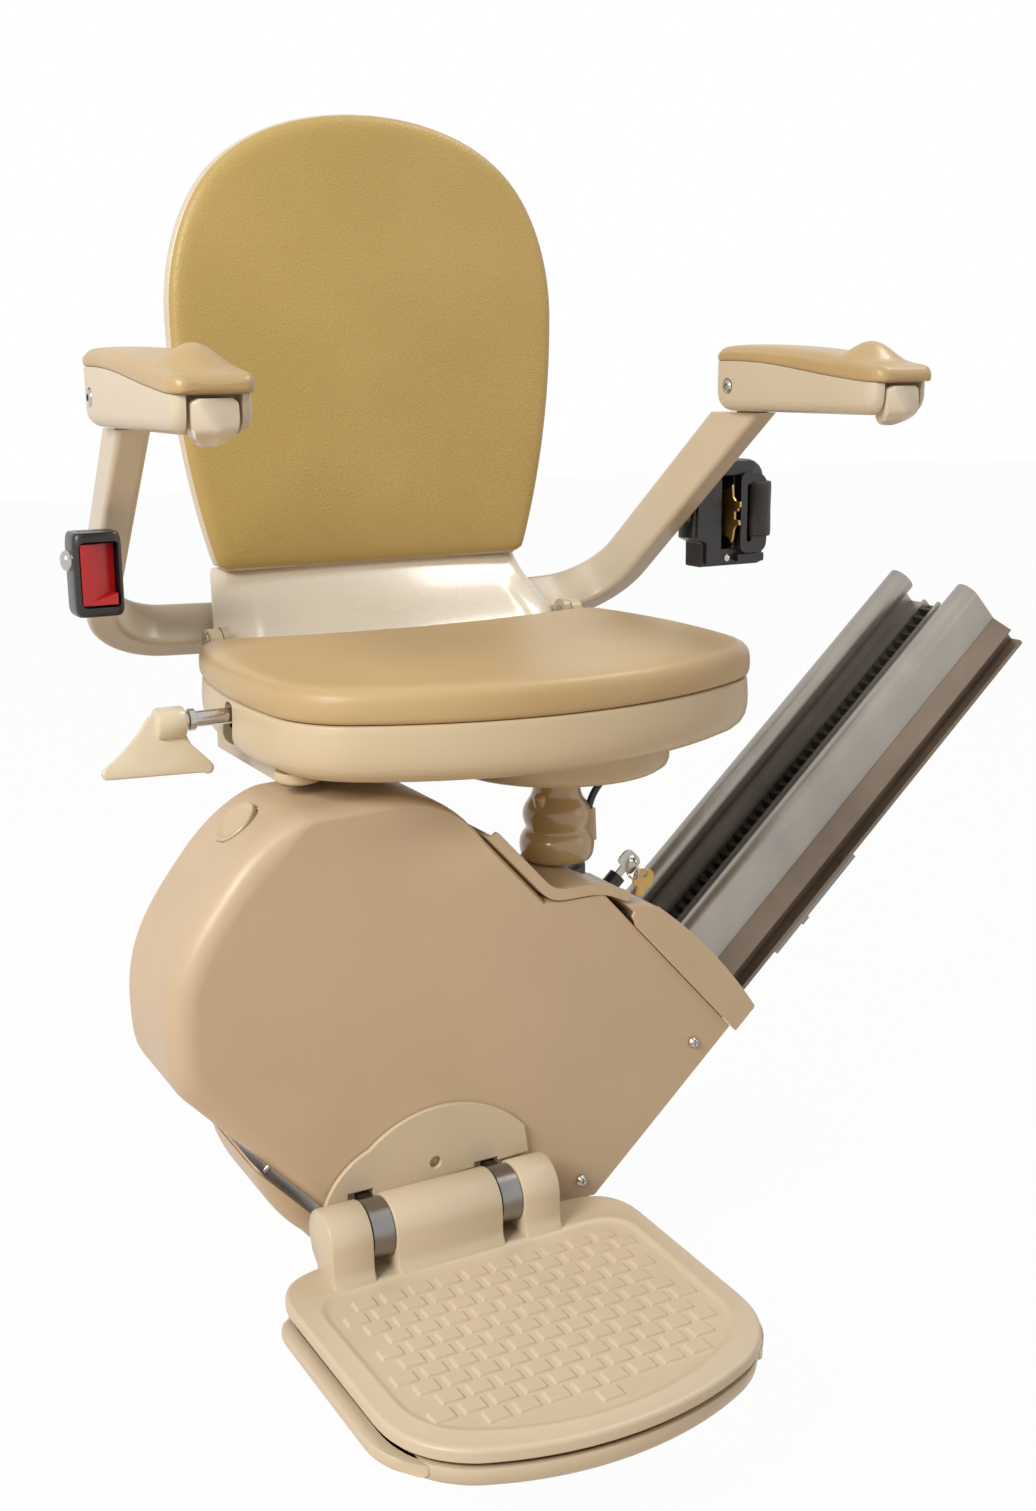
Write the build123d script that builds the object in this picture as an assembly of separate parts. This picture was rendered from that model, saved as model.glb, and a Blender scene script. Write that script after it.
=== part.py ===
from build123d import *
import os
from math import cos, sin, tan, radians, pi, sqrt, atan2, acos

# Stairlift chair on a length of its rail, in millimetres.
# While it is laid out, x = 0 is the middle of the seat (+X is uphill), y = 0 is the foot
# of the backrest cushion (-Y is where the rider looks) and z = 0 is the footplate's tread.
# Everything on the slope is drawn level in rail coordinates, s along the rail and n square
# to it, and then turned up by the slope. At the end all of it is shifted so that the origin
# is the middle of the rail's underside, at FOOT_S along the rail.

# ---------------------------------------------------------------- driving dimensions
SLOPE = 42.4                 # rise of the rail, degrees
GAP = 0.3                    # air between pieces that move past each other
FIT = 0.05                   # radial running clearance of a shaft in its bore
SEATED = 0.1                 # air between bolted pieces that need not touch

# rail: an upper extrusion with two round beads and a rack trough, on a base extrusion
RAIL_LOW_END = -60.0
RAIL_HIGH_END = 680.0
UPPER_SEAM = 392.0
BASE_SEAM = 335.0
FOOT_S = 0.0
BEAD_R = 13.0
BEAD_BORE_R = 7.0
REAR_BEAD_Y = -64.0
REAR_BEAD_N = -49.0
FRONT_BEAD_Y = -153.0
FRONT_BEAD_N = -55.0
RAIL_WALL = 4.0
RAIL_SPLIT_N = -86.0
RAIL_BOTTOM_N = -118.0
LIP_Y = -184.0
FLARE_Y = -180.0
FLARE_N = -100.0
RECESS_Y = -172.0
SLOT_WIDTH = 12.0            # T-slot mouth for the stair feet
SLOT_HEAD = 24.0
SLOT_PITCH = 78.0

# rack and gears
MODULE = 3.5
PRESSURE = 20.0
RACK_Y = -88.0
RACK_WIDTH = 15.0
RACK_BASE = 6.0
PINION_TEETH = 28
DRIVE_TEETH = 14
GEAR_WIDTH = 13.0
BACKLASH = 0.3               # taken off each tooth's thickness
PINION_S = 48.0
AXLE_R = 9.0

# carriage
PLATE_FRONT_Y = -180.0
PLATE_THICK = 6.0
COVER_FRONT_Y = -292.0
COVER_BACK_Y = -190.0
COVER_WALL = 3.0
COVER_ROUND = 21.0
COVER_LOW_S = -114.0
STEP_S = 165.0               # the step beside the post
COVER_HIGH_S = 200.0
COVER_BOTTOM_N = -40.0
COVER_SOLE_Z = -13.0
SHELF_Z = 239.0              # where the cover is cut level round the post
POST_X = 60.0
POST_Y = -205.0
POST_R = 17.0
POST_BOTTOM_Z = 96.0
UPPER_ROLLER_S = (-52.0, 158.0)
UPPER_ROLLER_R = 24.0
UPPER_ROLLER_WIDTH = 33.0
LOWER_ROLLER_R = 12.0
LOWER_ROLLER_WIDTH = 11.0
ROLLER_PIN_R = 5.0
PAN_TRAVEL = 4.0
PAD_TRAVEL = 4.0             # play of a safety edge before its switch trips

# footplate
TREAD_X = -91.5
TREAD_WIDTH = 286.0          # at the rear; it narrows a little to the front
TREAD_TAPER = 4.0            # how much each side draws in towards the front
TREAD_FRONT_WIDTH = TREAD_WIDTH - 2 * TREAD_TAPER
TREAD_BACK_Y = -304.0
TREAD_FRONT_Y = -568.0
TREAD_THICK = 10.0
HINGE_Y = -317.0
HINGE_Z = 27.0
KNUCKLE_R = 23.0
HINGE_PIN_R = 6.0
KNUCKLE_X = (-199.0, -15.0)
FOOT_ARM_X = (-158.0, -54.5)
FOOT_ARM_WIDTH = 16.0
PAN_BOTTOM_Z = -31.0
PAN_WING = 6.0               # how far the pan shows at each side of the tread

# seat
SEAT_HALF = 201.0
SEAT_REAR_HALF = 183.0
SEAT_REAR_Y = -52.0
SEAT_HOLLOW = 26.0           # how far the rear edge bows forward in the middle
SEAT_FRONT_Y = -354.0
SEAT_CORNER_Y = -294.0
TRAY_BOTTOM_Z = 350.5
TRAY_RIM_Z = 396.0
CUSHION_TOP_Z = 424.0
TRAY_WALL = 4.0
FOLD_Y = -46.0
FOLD_Z = 418.0
FOLD_PIN_R = 5.0
LUG_X = 155.0
LUG_THICK = 6.0
SEAT_PLATE_Z = 338.0
SEAT_PLATE_THICK = 4.0
SEAT_PAN_TOP_Z = 350.2
SEAT_PAN_EDGE = 16.0         # the pan's flange outside its lugs
SEAT_PAN_HALF = LUG_X + LUG_THICK + SEAT_PAN_EDGE
SEAT_PAN_FRONT_Y = -222.0
DRUM_R = 88.0
DRUM_BOTTOM_Z = 322.0

# back
BACK_FOOT_HALF = 137.3
BACK_HALF = 168.0
BACK_FOOT_Z = 469.0
BACK_WIDE_Z = 675.0
BACK_TOP_Z = 827.6
BACK_CUSHION_THICK = 22.0
SHELL_WALL = 4.0
SKIRT_HALF = 130.0
BEAM_Y = 22.0
BEAM_Z = 417.0

# arms
ARM_CENTRE_X = 262.5
ARM_WIDTH = 52.0
ARM_PIVOT_Y = -181.0
ARM_PIVOT_Z = 614.0
ARM_BACK_Y = -160.0
ARM_FRONT_Y = -366.0
ARM_BOTTOM_Z = 598.5
ARM_TOP_Z = 647.0
BAR_THICK = 24.0
BAR_DEPTH = 40.0
BAR_TOP_Z = 592.4
BAR_BEND_R = 60.0
BAR_ELBOW = (243.5, 33.0, 420.0)
BAR_END_X = 100.0
TONGUE_THICK = 14.0
TONGUE_DEPTH = 24.0
ARM_BOLT_R = 5.0

# swivel lever
LEVER_Y = -175.0
LEVER_Z = 384.0
LEVER_SHAFT_R = 6.0


# ---------------------------------------------------------------- drawing helpers
def on_slope(shape):
    """Turns a shape drawn in rail coordinates (s, y, n) up to the rail's slope."""
    return Rot(0, -SLOPE, 0) * shape


def to_rail(x, z):
    """Rail coordinates of a point given by x and z."""
    a = radians(SLOPE)
    return x * cos(a) + z * sin(a), z * cos(a) - x * sin(a)


def to_level(s, n):
    """x and z of a point given in rail coordinates."""
    a = radians(SLOPE)
    return s * cos(a) - n * sin(a), s * sin(a) + n * cos(a)


def block(x, y, z):
    """A box from pairs of limits."""
    size = [abs(b - a) for a, b in (x, y, z)]
    middle = [(a + b) / 2 for a, b in (x, y, z)]
    return Pos(*middle) * Box(*size)


def rod(radius, start, end):
    """A round bar between two points."""
    axis = Vector(*end) - Vector(*start)
    plane = Plane(origin=start, z_dir=axis)
    return extrude(plane * Circle(radius), axis.length)


def slab(face, front_y, back_y):
    """A face drawn in the x-z plane, thickened between two depths."""
    return extrude(Plane.XZ.offset(-back_y) * face, back_y - front_y)


def sideways(face, low_x, high_x):
    """A face drawn with (y, z), thickened between two values of x."""
    return extrude(Plane.YZ.offset(low_x) * face, high_x - low_x)


def upright(face, low_z, high_z):
    """A face drawn in plan, thickened between two heights."""
    return extrude(Plane.XY.offset(low_z) * face, high_z - low_z)


def area(*edges):
    """The face inside a closed chain of edges."""
    return make_face(Wire.combine([e for edge in edges for e in edge.edges()])[0].edges())


def polygon(*points):
    return make_face(Polyline(*points, close=True))


def rounded_box(x, y, z, radius):
    """A box with rounded upright corners."""
    base = RectangleRounded(abs(x[1] - x[0]), abs(y[1] - y[0]), radius)
    return upright(Pos((x[0] + x[1]) / 2, (y[0] + y[1]) / 2) * base, *z)


def turned(profile, centre, axis):
    """A profile of (radius, height) points, spun about an axis through a centre."""
    spun = revolve(Plane.XZ * polygon(*profile), Axis.Z)
    return Plane(origin=centre, z_dir=axis) * spun


def mirrored(shape):
    return mirror(shape, Plane.YZ)


# ---------------------------------------------------------------- rail
def upper_section():
    """Section (y, n) of the upper extrusion: two beads, trough and front face."""
    front_y = FRONT_BEAD_Y - BEAD_R
    rear_y = REAR_BEAD_Y + BEAD_R
    trough_half = RACK_WIDTH / 2 + 0.5
    floor_n = RAIL_SPLIT_N + RAIL_WALL + 1
    rack_low_n = rack_pitch_n() - 1.25 * MODULE - RACK_BASE
    section = Pos(REAR_BEAD_Y, REAR_BEAD_N) * Circle(BEAD_R)
    section += Pos(FRONT_BEAD_Y, FRONT_BEAD_N) * Circle(BEAD_R)
    section += rectangle(front_y, rear_y, RAIL_SPLIT_N, floor_n)
    section += rectangle(rear_y - RAIL_WALL - 1, rear_y, RAIL_SPLIT_N, REAR_BEAD_N)
    section += rectangle(front_y, front_y + RAIL_WALL + 1, RAIL_SPLIT_N, FRONT_BEAD_N)
    section += rectangle(FRONT_BEAD_Y + BEAD_R - 5, FRONT_BEAD_Y + BEAD_R - 1, RAIL_SPLIT_N, FRONT_BEAD_N)
    section += rectangle(RACK_Y - trough_half - RAIL_WALL, RACK_Y + trough_half + RAIL_WALL,
                         rack_low_n - RAIL_WALL, floor_n + 5)
    section -= rectangle(RACK_Y - trough_half, RACK_Y + trough_half, rack_low_n, floor_n + 6)
    section -= Pos(REAR_BEAD_Y, REAR_BEAD_N) * Circle(BEAD_BORE_R)
    section -= Pos(FRONT_BEAD_Y, FRONT_BEAD_N) * Circle(BEAD_BORE_R)
    return section


def base_section():
    """Section (y, n) of the base extrusion, with a T-slot pair in its underside."""
    front_y = FRONT_BEAD_Y - BEAD_R
    rear_y = REAR_BEAD_Y + BEAD_R
    top_n = RAIL_SPLIT_N
    lip_n = RAIL_BOTTOM_N + RAIL_WALL
    inner_top_n = top_n - RAIL_WALL
    trough_half = RACK_WIDTH / 2 + 0.5 + RAIL_WALL
    section = polygon((rear_y, top_n), (rear_y, RAIL_BOTTOM_N), (LIP_Y, RAIL_BOTTOM_N), (LIP_Y, lip_n),
                      (RECESS_Y, lip_n), (RECESS_Y, FLARE_N - 1), (FLARE_Y, FLARE_N - 1), (FLARE_Y, FLARE_N),
                      (front_y, top_n - 1), (front_y, top_n))
    section -= polygon((rear_y - RAIL_WALL, inner_top_n), (rear_y - RAIL_WALL, lip_n),
                       (RECESS_Y + RAIL_WALL, lip_n), (RECESS_Y + RAIL_WALL, FLARE_N),
                       (front_y + RAIL_WALL, inner_top_n))
    section -= rectangle(RACK_Y - trough_half - 1, RACK_Y + trough_half + 1, inner_top_n - 1, top_n + 1)
    for y in (rail_mid_y() - SLOT_PITCH / 2, rail_mid_y() + SLOT_PITCH / 2):
        outer = SLOT_HEAD / 2 + 3
        section += rectangle(y - outer, y + outer, RAIL_BOTTOM_N, RAIL_BOTTOM_N + 14)
        section -= rectangle(y - SLOT_HEAD / 2, y + SLOT_HEAD / 2, lip_n, RAIL_BOTTOM_N + 11)
        section -= rectangle(y - SLOT_WIDTH / 2, y + SLOT_WIDTH / 2, RAIL_BOTTOM_N - 1, lip_n + 1)
    return section


def rectangle(low_u, high_u, low_v, high_v):
    """A rectangle from its limits."""
    return Pos((low_u + high_u) / 2, (low_v + high_v) / 2) * Rectangle(high_u - low_u, high_v - low_v)


def rail_mid_y():
    """Middle of the rail's flat underside."""
    return (LIP_Y + REAR_BEAD_Y + BEAD_R) / 2


def rack_pitch_n():
    """Height of the rack's pitch line: its teeth stand just proud of the trough's lips."""
    return RAIL_SPLIT_N + RAIL_WALL + 1 + 1.5


def pinion_n():
    return rack_pitch_n() + MODULE * PINION_TEETH / 2 + 0.15


def drive_gear_n():
    return pinion_n() + MODULE * (PINION_TEETH + DRIVE_TEETH) / 2 + 0.15


def rail_length(section, low_s, high_s):
    return on_slope(sideways(section, low_s, high_s))


def drive_rack():
    """A toothed strip, with a gap between teeth just under the pinion."""
    pitch = pi * MODULE
    half_top = pitch / 4 - BACKLASH / 2 - MODULE * tan(radians(PRESSURE))
    half_root = pitch / 4 - BACKLASH / 2 + 1.25 * MODULE * tan(radians(PRESSURE))
    tip_n = rack_pitch_n() + MODULE
    root_n = rack_pitch_n() - 1.25 * MODULE
    outline = [(RAIL_LOW_END, root_n - RACK_BASE), (RAIL_LOW_END, root_n)]
    first = int((RAIL_LOW_END - PINION_S) / pitch) - 1
    last = int((RAIL_HIGH_END - PINION_S) / pitch) + 1
    for tooth in range(first, last):
        middle = PINION_S + (tooth + 0.5) * pitch
        if middle - half_root < RAIL_LOW_END + 1 or middle + half_root > RAIL_HIGH_END - 1:
            continue
        outline += [(middle - half_root, root_n), (middle - half_top, tip_n),
                    (middle + half_top, tip_n), (middle + half_root, root_n)]
    outline += [(RAIL_HIGH_END, root_n), (RAIL_HIGH_END, root_n - RACK_BASE)]
    strip = slab(polygon(*outline), RACK_Y - RACK_WIDTH / 2, RACK_Y + RACK_WIDTH / 2)
    return on_slope(strip)


def joiner_plate():
    """A flat bar under the base seam, with the locating stud that passes through it."""
    low, high = BASE_SEAM - 37, BASE_SEAM + 80
    plate = block((low, high), (LIP_Y + 1, LIP_Y + 19), (RAIL_BOTTOM_N - 5, RAIL_BOTTOM_N))
    stud = block((BASE_SEAM, BASE_SEAM + 9), (LIP_Y + 3, LIP_Y + 11), (RAIL_BOTTOM_N - 9, RAIL_BOTTOM_N - 5))
    return on_slope(plate + stud)


def joiner_screws():
    """Low-headed screws in the recess above the lip, under the path of the lower rollers."""
    screws = Compound(children=[
        on_slope(rod(4.5, (s, (RECESS_Y + LIP_Y) / 2, RAIL_BOTTOM_N + RAIL_WALL),
                     (s, (RECESS_Y + LIP_Y) / 2, RAIL_BOTTOM_N + RAIL_WALL + 0.6)))
        for s in (BASE_SEAM, BASE_SEAM + 70)])
    return screws


# ---------------------------------------------------------------- gears and rollers
def gear_face(teeth):
    """An involute gear with a tooth pointing straight down."""
    pitch_r = MODULE * teeth / 2
    base_r = pitch_r * cos(radians(PRESSURE))
    tip_r = pitch_r + MODULE
    root_r = pitch_r - 1.25 * MODULE
    roll = tan(radians(PRESSURE)) - radians(PRESSURE)
    half_at_pitch = pi / (2 * teeth) - BACKLASH / (2 * pitch_r)
    radii = [max(base_r, root_r + 0.3) + (tip_r - max(base_r, root_r + 0.3)) * i / 5 for i in range(6)]

    def half_angle(radius):
        pressure = acos(min(1.0, base_r / radius))
        return half_at_pitch + roll - (tan(pressure) - pressure)

    outline = []
    for tooth in range(teeth):
        middle = -pi / 2 + 2 * pi * tooth / teeth
        rising = [(r, middle - half_angle(r)) for r in radii]
        falling = [(r, middle + half_angle(r)) for r in reversed(radii)]
        foot = half_angle(radii[0])
        outline += [(root_r, middle - foot)] + rising + falling + [(root_r, middle + foot)]
    return polygon(*[(r * cos(a), r * sin(a)) for r, a in outline])


def rail_pinion():
    """The wheel that climbs the rack, running on a fixed axle."""
    wheel = gear_face(PINION_TEETH) - Circle(AXLE_R + FIT)
    wheel = Pos(PINION_S, pinion_n()) * wheel
    disc = slab(wheel, RACK_Y - GEAR_WIDTH / 2, RACK_Y + GEAR_WIDTH / 2)
    for turn in range(6):
        hole = Pos(PINION_S, pinion_n()) * (Rot(0, 0, 60 * turn) * (Pos(28, 0) * Circle(8)))
        disc -= slab(hole, RACK_Y - GEAR_WIDTH, RACK_Y + GEAR_WIDTH)
    return on_slope(disc)


def drive_gear():
    """The gearbox's output shaft with its small gear."""
    turn = 180 + 180.0 / DRIVE_TEETH if PINION_TEETH % 2 else 180.0 / DRIVE_TEETH
    wheel = Pos(PINION_S, drive_gear_n()) * (Rot(0, 0, turn) * gear_face(DRIVE_TEETH))
    gear = slab(wheel, RACK_Y - GEAR_WIDTH / 2, RACK_Y + GEAR_WIDTH / 2)
    centre = (PINION_S, drive_gear_n())
    shaft = rod(8, (centre[0], PLATE_FRONT_Y - 40, centre[1]), (centre[0], RACK_Y, centre[1]))
    return on_slope(gear + shaft)


def upper_roller_n():
    """Axle height of a grooved roller that straddles the front bead."""
    return FRONT_BEAD_N + BEAD_R + 16 + GAP


def upper_roller(s):
    half = UPPER_ROLLER_WIDTH / 2
    reach = upper_roller_n() - FRONT_BEAD_N
    wheel = polygon((ROLLER_PIN_R + FIT, -half), (UPPER_ROLLER_R - 1.5, -half), (UPPER_ROLLER_R, -half + 1.5),
                    (UPPER_ROLLER_R, half - 1.5), (UPPER_ROLLER_R - 1.5, half), (ROLLER_PIN_R + FIT, half))
    wheel -= Pos(reach, 0) * Circle(BEAD_R + GAP)
    spun = revolve(Plane.XZ * wheel, Axis.Z)
    return on_slope(Plane(origin=(s, FRONT_BEAD_Y, upper_roller_n()), z_dir=(0, -1, 0)) * spun)


def lower_roller_n():
    return (FLARE_N - 1 + RAIL_BOTTOM_N + RAIL_WALL) / 2


def lower_roller_y():
    return RECESS_Y - GAP - LOWER_ROLLER_R


def lower_roller(s):
    half = LOWER_ROLLER_WIDTH / 2
    wheel = turned([(ROLLER_PIN_R - 2 + FIT, -half), (LOWER_ROLLER_R - 1, -half), (LOWER_ROLLER_R, -half + 1),
                    (LOWER_ROLLER_R, half - 1), (LOWER_ROLLER_R - 1, half), (ROLLER_PIN_R - 2 + FIT, half)],
                   (s, lower_roller_y(), lower_roller_n()), (0, 0, 1))
    return on_slope(wheel)


def wheel_axles():
    """The fixed axles of the pinion and the grooved rollers, each with its retaining head."""
    back_y = PLATE_FRONT_Y - 6
    end_y = RACK_Y + GEAR_WIDTH / 2
    centre = (PINION_S, pinion_n())
    pinion_axle = rod(AXLE_R, (centre[0], back_y, centre[1]), (centre[0], end_y + 2.5, centre[1]))
    pinion_axle += rod(AXLE_R + 3, (centre[0], end_y + 0.5, centre[1]), (centre[0], end_y + 2.5, centre[1]))
    pieces = [on_slope(pinion_axle)]
    inner_y = FRONT_BEAD_Y + UPPER_ROLLER_WIDTH / 2
    for s in UPPER_ROLLER_S:
        n = upper_roller_n()
        axle = rod(ROLLER_PIN_R, (s, back_y, n), (s, inner_y + 3, n))
        axle += rod(ROLLER_PIN_R + 3, (s, inner_y + 0.5, n), (s, inner_y + 3, n))
        axle += rod(ROLLER_PIN_R + 2, (s, back_y - 3, n), (s, back_y + 6 - SEATED, n))
        pieces.append(on_slope(axle))
    return Compound(children=pieces)


# ---------------------------------------------------------------- chassis and drive
def chassis_plate():
    """The carriage's steel plate, with roller brackets, battery straps and cover standoffs."""
    outline = [(-90, -64), (188, -64), (188, 110), (158, 170), (142, 215), (142, 298), (60, 345),
               (-40, 315), (-96, 262), (-104, 95), (-90, 60)]
    face = polygon(*outline)
    for s, n, r in [(PINION_S, pinion_n(), AXLE_R + SEATED), (PINION_S, drive_gear_n(), 9.0)]:
        face -= Pos(s, n) * Circle(r)
    for s in UPPER_ROLLER_S:
        face -= Pos(s, upper_roller_n()) * Circle(ROLLER_PIN_R + SEATED)
    plate = on_slope(slab(face, PLATE_FRONT_Y, PLATE_FRONT_Y + PLATE_THICK))
    for s in UPPER_ROLLER_S:
        plate += lower_roller_bracket(s)
    for strap in battery_straps():
        plate += strap
    for s, n in [to_rail(*at) for at in COVER_SCREW_AT] + [(-50, 300)]:
        plate += on_slope(rod(4.5, (s, PLATE_FRONT_Y, n), (s, COVER_FRONT_Y + COVER_WALL + SEATED, n)))
    return plate + post_socket()


COVER_SCREW_AT = ((137.0, 99.0), (32.0, 4.0))


def lower_roller_bracket(s):
    """A folded steel arm below the plate, with the lower roller's pin hanging from it."""
    top_n = lower_roller_n() + LOWER_ROLLER_WIDTH / 2 + 0.5
    y = lower_roller_y()
    front_y = y - LOWER_ROLLER_R - 2
    leg = block((s - 15, s + 15), (front_y - 5, front_y), (top_n, -46))
    foot = block((s - 15, s + 15), (front_y - 5, PLATE_FRONT_Y), (-52, -46))
    ear = block((s - 10, s + 10), (front_y, FLARE_Y - 1), (top_n, top_n + 4))
    pin = rod(ROLLER_PIN_R - 2, (s, y, top_n - LOWER_ROLLER_WIDTH - 0.5), (s, y, top_n + 4))
    return on_slope(leg + foot + ear + pin)


BATTERY = (60.0, 90.0, 151.0)
BATTERY_AT = ((-72.0, 112.0), (91.0, 130.0))


def batteries():
    """Two sealed lead-acid blocks, each with its pair of tags, standing on the plate."""
    pieces = []
    for s, n in BATTERY_AT:
        front_y = PLATE_FRONT_Y - BATTERY[1]
        case = block((s, s + BATTERY[0]), (front_y, PLATE_FRONT_Y - SEATED), (n, n + BATTERY[2]))
        case = fillet(case.edges().filter_by(Axis.Z), 2)
        for tag_s in (s + 12, s + BATTERY[0] - 18):
            case += block((tag_s, tag_s + 6), (front_y + 20, front_y + 21), (n + BATTERY[2], n + BATTERY[2] + 7))
        pieces.append(on_slope(case))
    return Compound(children=pieces)


def battery_straps():
    """A steel strap round each battery, footed on the plate."""
    pieces = []
    for s, n in BATTERY_AT:
        front_y = PLATE_FRONT_Y - BATTERY[1] - SEATED
        low, high = n + 60, n + 80
        outer = block((s - 2.5, s + BATTERY[0] + 2.5), (front_y - 2, PLATE_FRONT_Y), (low, high))
        inner = block((s - SEATED, s + BATTERY[0] + SEATED), (front_y, PLATE_FRONT_Y + 1), (low - 1, high + 1))
        pieces.append(on_slope(outer - inner))
    return pieces


def gearbox():
    """The worm reduction's housing, bolted to the plate, with the output shaft's bore."""
    s, n = PINION_S, drive_gear_n()
    case = block((s - 36, s + 36), (-250, PLATE_FRONT_Y - SEATED), (n - 30, n + 34))
    case = fillet(case.edges().filter_by(Axis.Y), 12)
    case += rod(24, (s, -254, n), (s, -250, n))
    case -= rod(8 + FIT, (s, PLATE_FRONT_Y - 41, n), (s, PLATE_FRONT_Y + 1, n))
    return on_slope(case)


MOTOR_S = 54.0
MOTOR_Y = -230.0


def drive_motor():
    """The motor and its brake on the gearbox, with the hand-winding shaft above them."""
    s, low = MOTOR_S, drive_gear_n() + 34 + SEATED
    body = rod(33, (s, MOTOR_Y, low), (s, MOTOR_Y, low + 150))
    body += rod(35, (s, MOTOR_Y, low), (s, MOTOR_Y, low + 8))
    body += rod(28, (s, MOTOR_Y, low + 150), (s, MOTOR_Y, low + 186))
    body += rod(6, (s, MOTOR_Y, low + 186), (s, MOTOR_Y, low + 268))
    hexagon = upright(Pos(s, MOTOR_Y) * RegularPolygon(11, 6), low + 268, low + 280)
    return on_slope(body + hexagon)


def control_board():
    """The carriage's circuit board on four spacers, with a relay and terminal block."""
    low_s, high_s = 98.0, 148.0
    low_n, high_n = -34.0, 3.0
    board = block((low_s, high_s), (-242, -240), (low_n, high_n))
    for s in (low_s + 6, high_s - 7):
        for n in (low_n + 5, high_n - 5):
            board += rod(3, (s, -240, n), (s, PLATE_FRONT_Y - SEATED, n))
    board += block((low_s + 12, low_s + 28), (-258, -242), (low_n + 8, low_n + 28))
    board += block((low_s + 32, high_s - 8), (-252, -242), (low_n + 6, high_n - 6))
    return on_slope(board)


def post_socket():
    """The steel tube welded to a web on the plate, gripping the foot of the seat post."""
    tube = rod(POST_R + 6, (POST_X, POST_Y, POST_BOTTOM_Z - 4), (POST_X, POST_Y, SHELF_Z))
    tube += block((POST_X - 14, POST_X + 14), (POST_Y, PLATE_FRONT_Y + 1), (POST_BOTTOM_Z - 4, 178))
    return tube - rod(POST_R + FIT, (POST_X, POST_Y, POST_BOTTOM_Z), (POST_X, POST_Y, SHELF_Z + 1))


def seat_post():
    """A polished tube that carries the chair on its closed upper end."""
    top_z = SEAT_PAN_TOP_Z - 4 - SEATED
    tube = rod(POST_R, (POST_X, POST_Y, POST_BOTTOM_Z), (POST_X, POST_Y, top_z))
    return tube - rod(POST_R - 4, (POST_X, POST_Y, POST_BOTTOM_Z - 1), (POST_X, POST_Y, top_z - 8))


def post_collar():
    """The moulded plate round the post on the cover's shelf, lipped along its front and up the step."""
    low, high = SHELF_Z + SEATED, SHELF_Z + 4.5
    front_y, back_y = COVER_FRONT_Y + 0.5, -181
    plate = rounded_box((8, 96), (front_y, back_y), (low, high), 10)
    lip = polygon((16, high - 1), (88, high - 1), (88, high + 4.5), (16, high + 7))
    plate += slab(lip, front_y, front_y + 3.5)
    foot = (STEP_S + SEATED - low * sin(radians(SLOPE))) / cos(radians(SLOPE))
    step = polygon((foot, low), (26, low), (26, high), (foot + 2.6, high),
                   to_level(STEP_S + 3.6, 216), to_level(STEP_S + SEATED, 216))
    plate += slab(step, front_y + 12, COVER_BACK_Y)
    return plate - rod(POST_R + GAP, (POST_X, POST_Y, low - 1), (POST_X, POST_Y, high + 1))


def post_gaiter():
    """A soft moulded sleeve with three bulges and an upright port for the seat's cable."""
    low, high = SHELF_Z + 4.7, 297.0
    height = high - low
    stations = [(0.0, 30), (0.14, 34), (0.30, 30), (0.46, 32), (0.62, 26), (0.76, 22.5), (1.0, 19.5)]
    outer = Spline(*[(r, low + height * f) for f, r in stations])
    inner_r = POST_R + GAP
    walls = Polyline((19.5, high), (inner_r, high), (inner_r, low), (30, low))
    face = make_face([*outer.edges(), *walls.edges()])
    sleeve = Pos(POST_X, POST_Y) * revolve(Plane.XZ * face, Axis.Z)
    port = rod(5.5, (CABLE_LOW[0], CABLE_LOW[1], 262), (CABLE_LOW[0], CABLE_LOW[1], CABLE_LOW[2]))
    port -= rod(inner_r, (POST_X, POST_Y, low), (POST_X, POST_Y, high))
    return sleeve + port


CABLE_LOW = (83.0, -216.5, 285.0)
CABLE_HIGH = (103.0, -225.0, 321.6)


def seat_cable():
    """The black cable from the gaiter's port up to the swivel housing."""
    end = Vector(*CABLE_HIGH)
    start = Vector(CABLE_LOW[0], CABLE_LOW[1], CABLE_LOW[2] + SEATED)
    path = Spline(tuple(start), tuple((start + end) * 0.5 + Vector(-1.5, 0.5, 1.5)), tuple(end))
    section = Plane(origin=path @ 0, z_dir=path % 0) * Circle(3)
    cable = sweep(section, path=path)
    trim = block((0, 200), (-300, -100), (CABLE_LOW[2] - 20, start.Z))
    return cable - trim - block((0, 200), (-300, -100), (end.Z, end.Z + 20))


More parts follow.
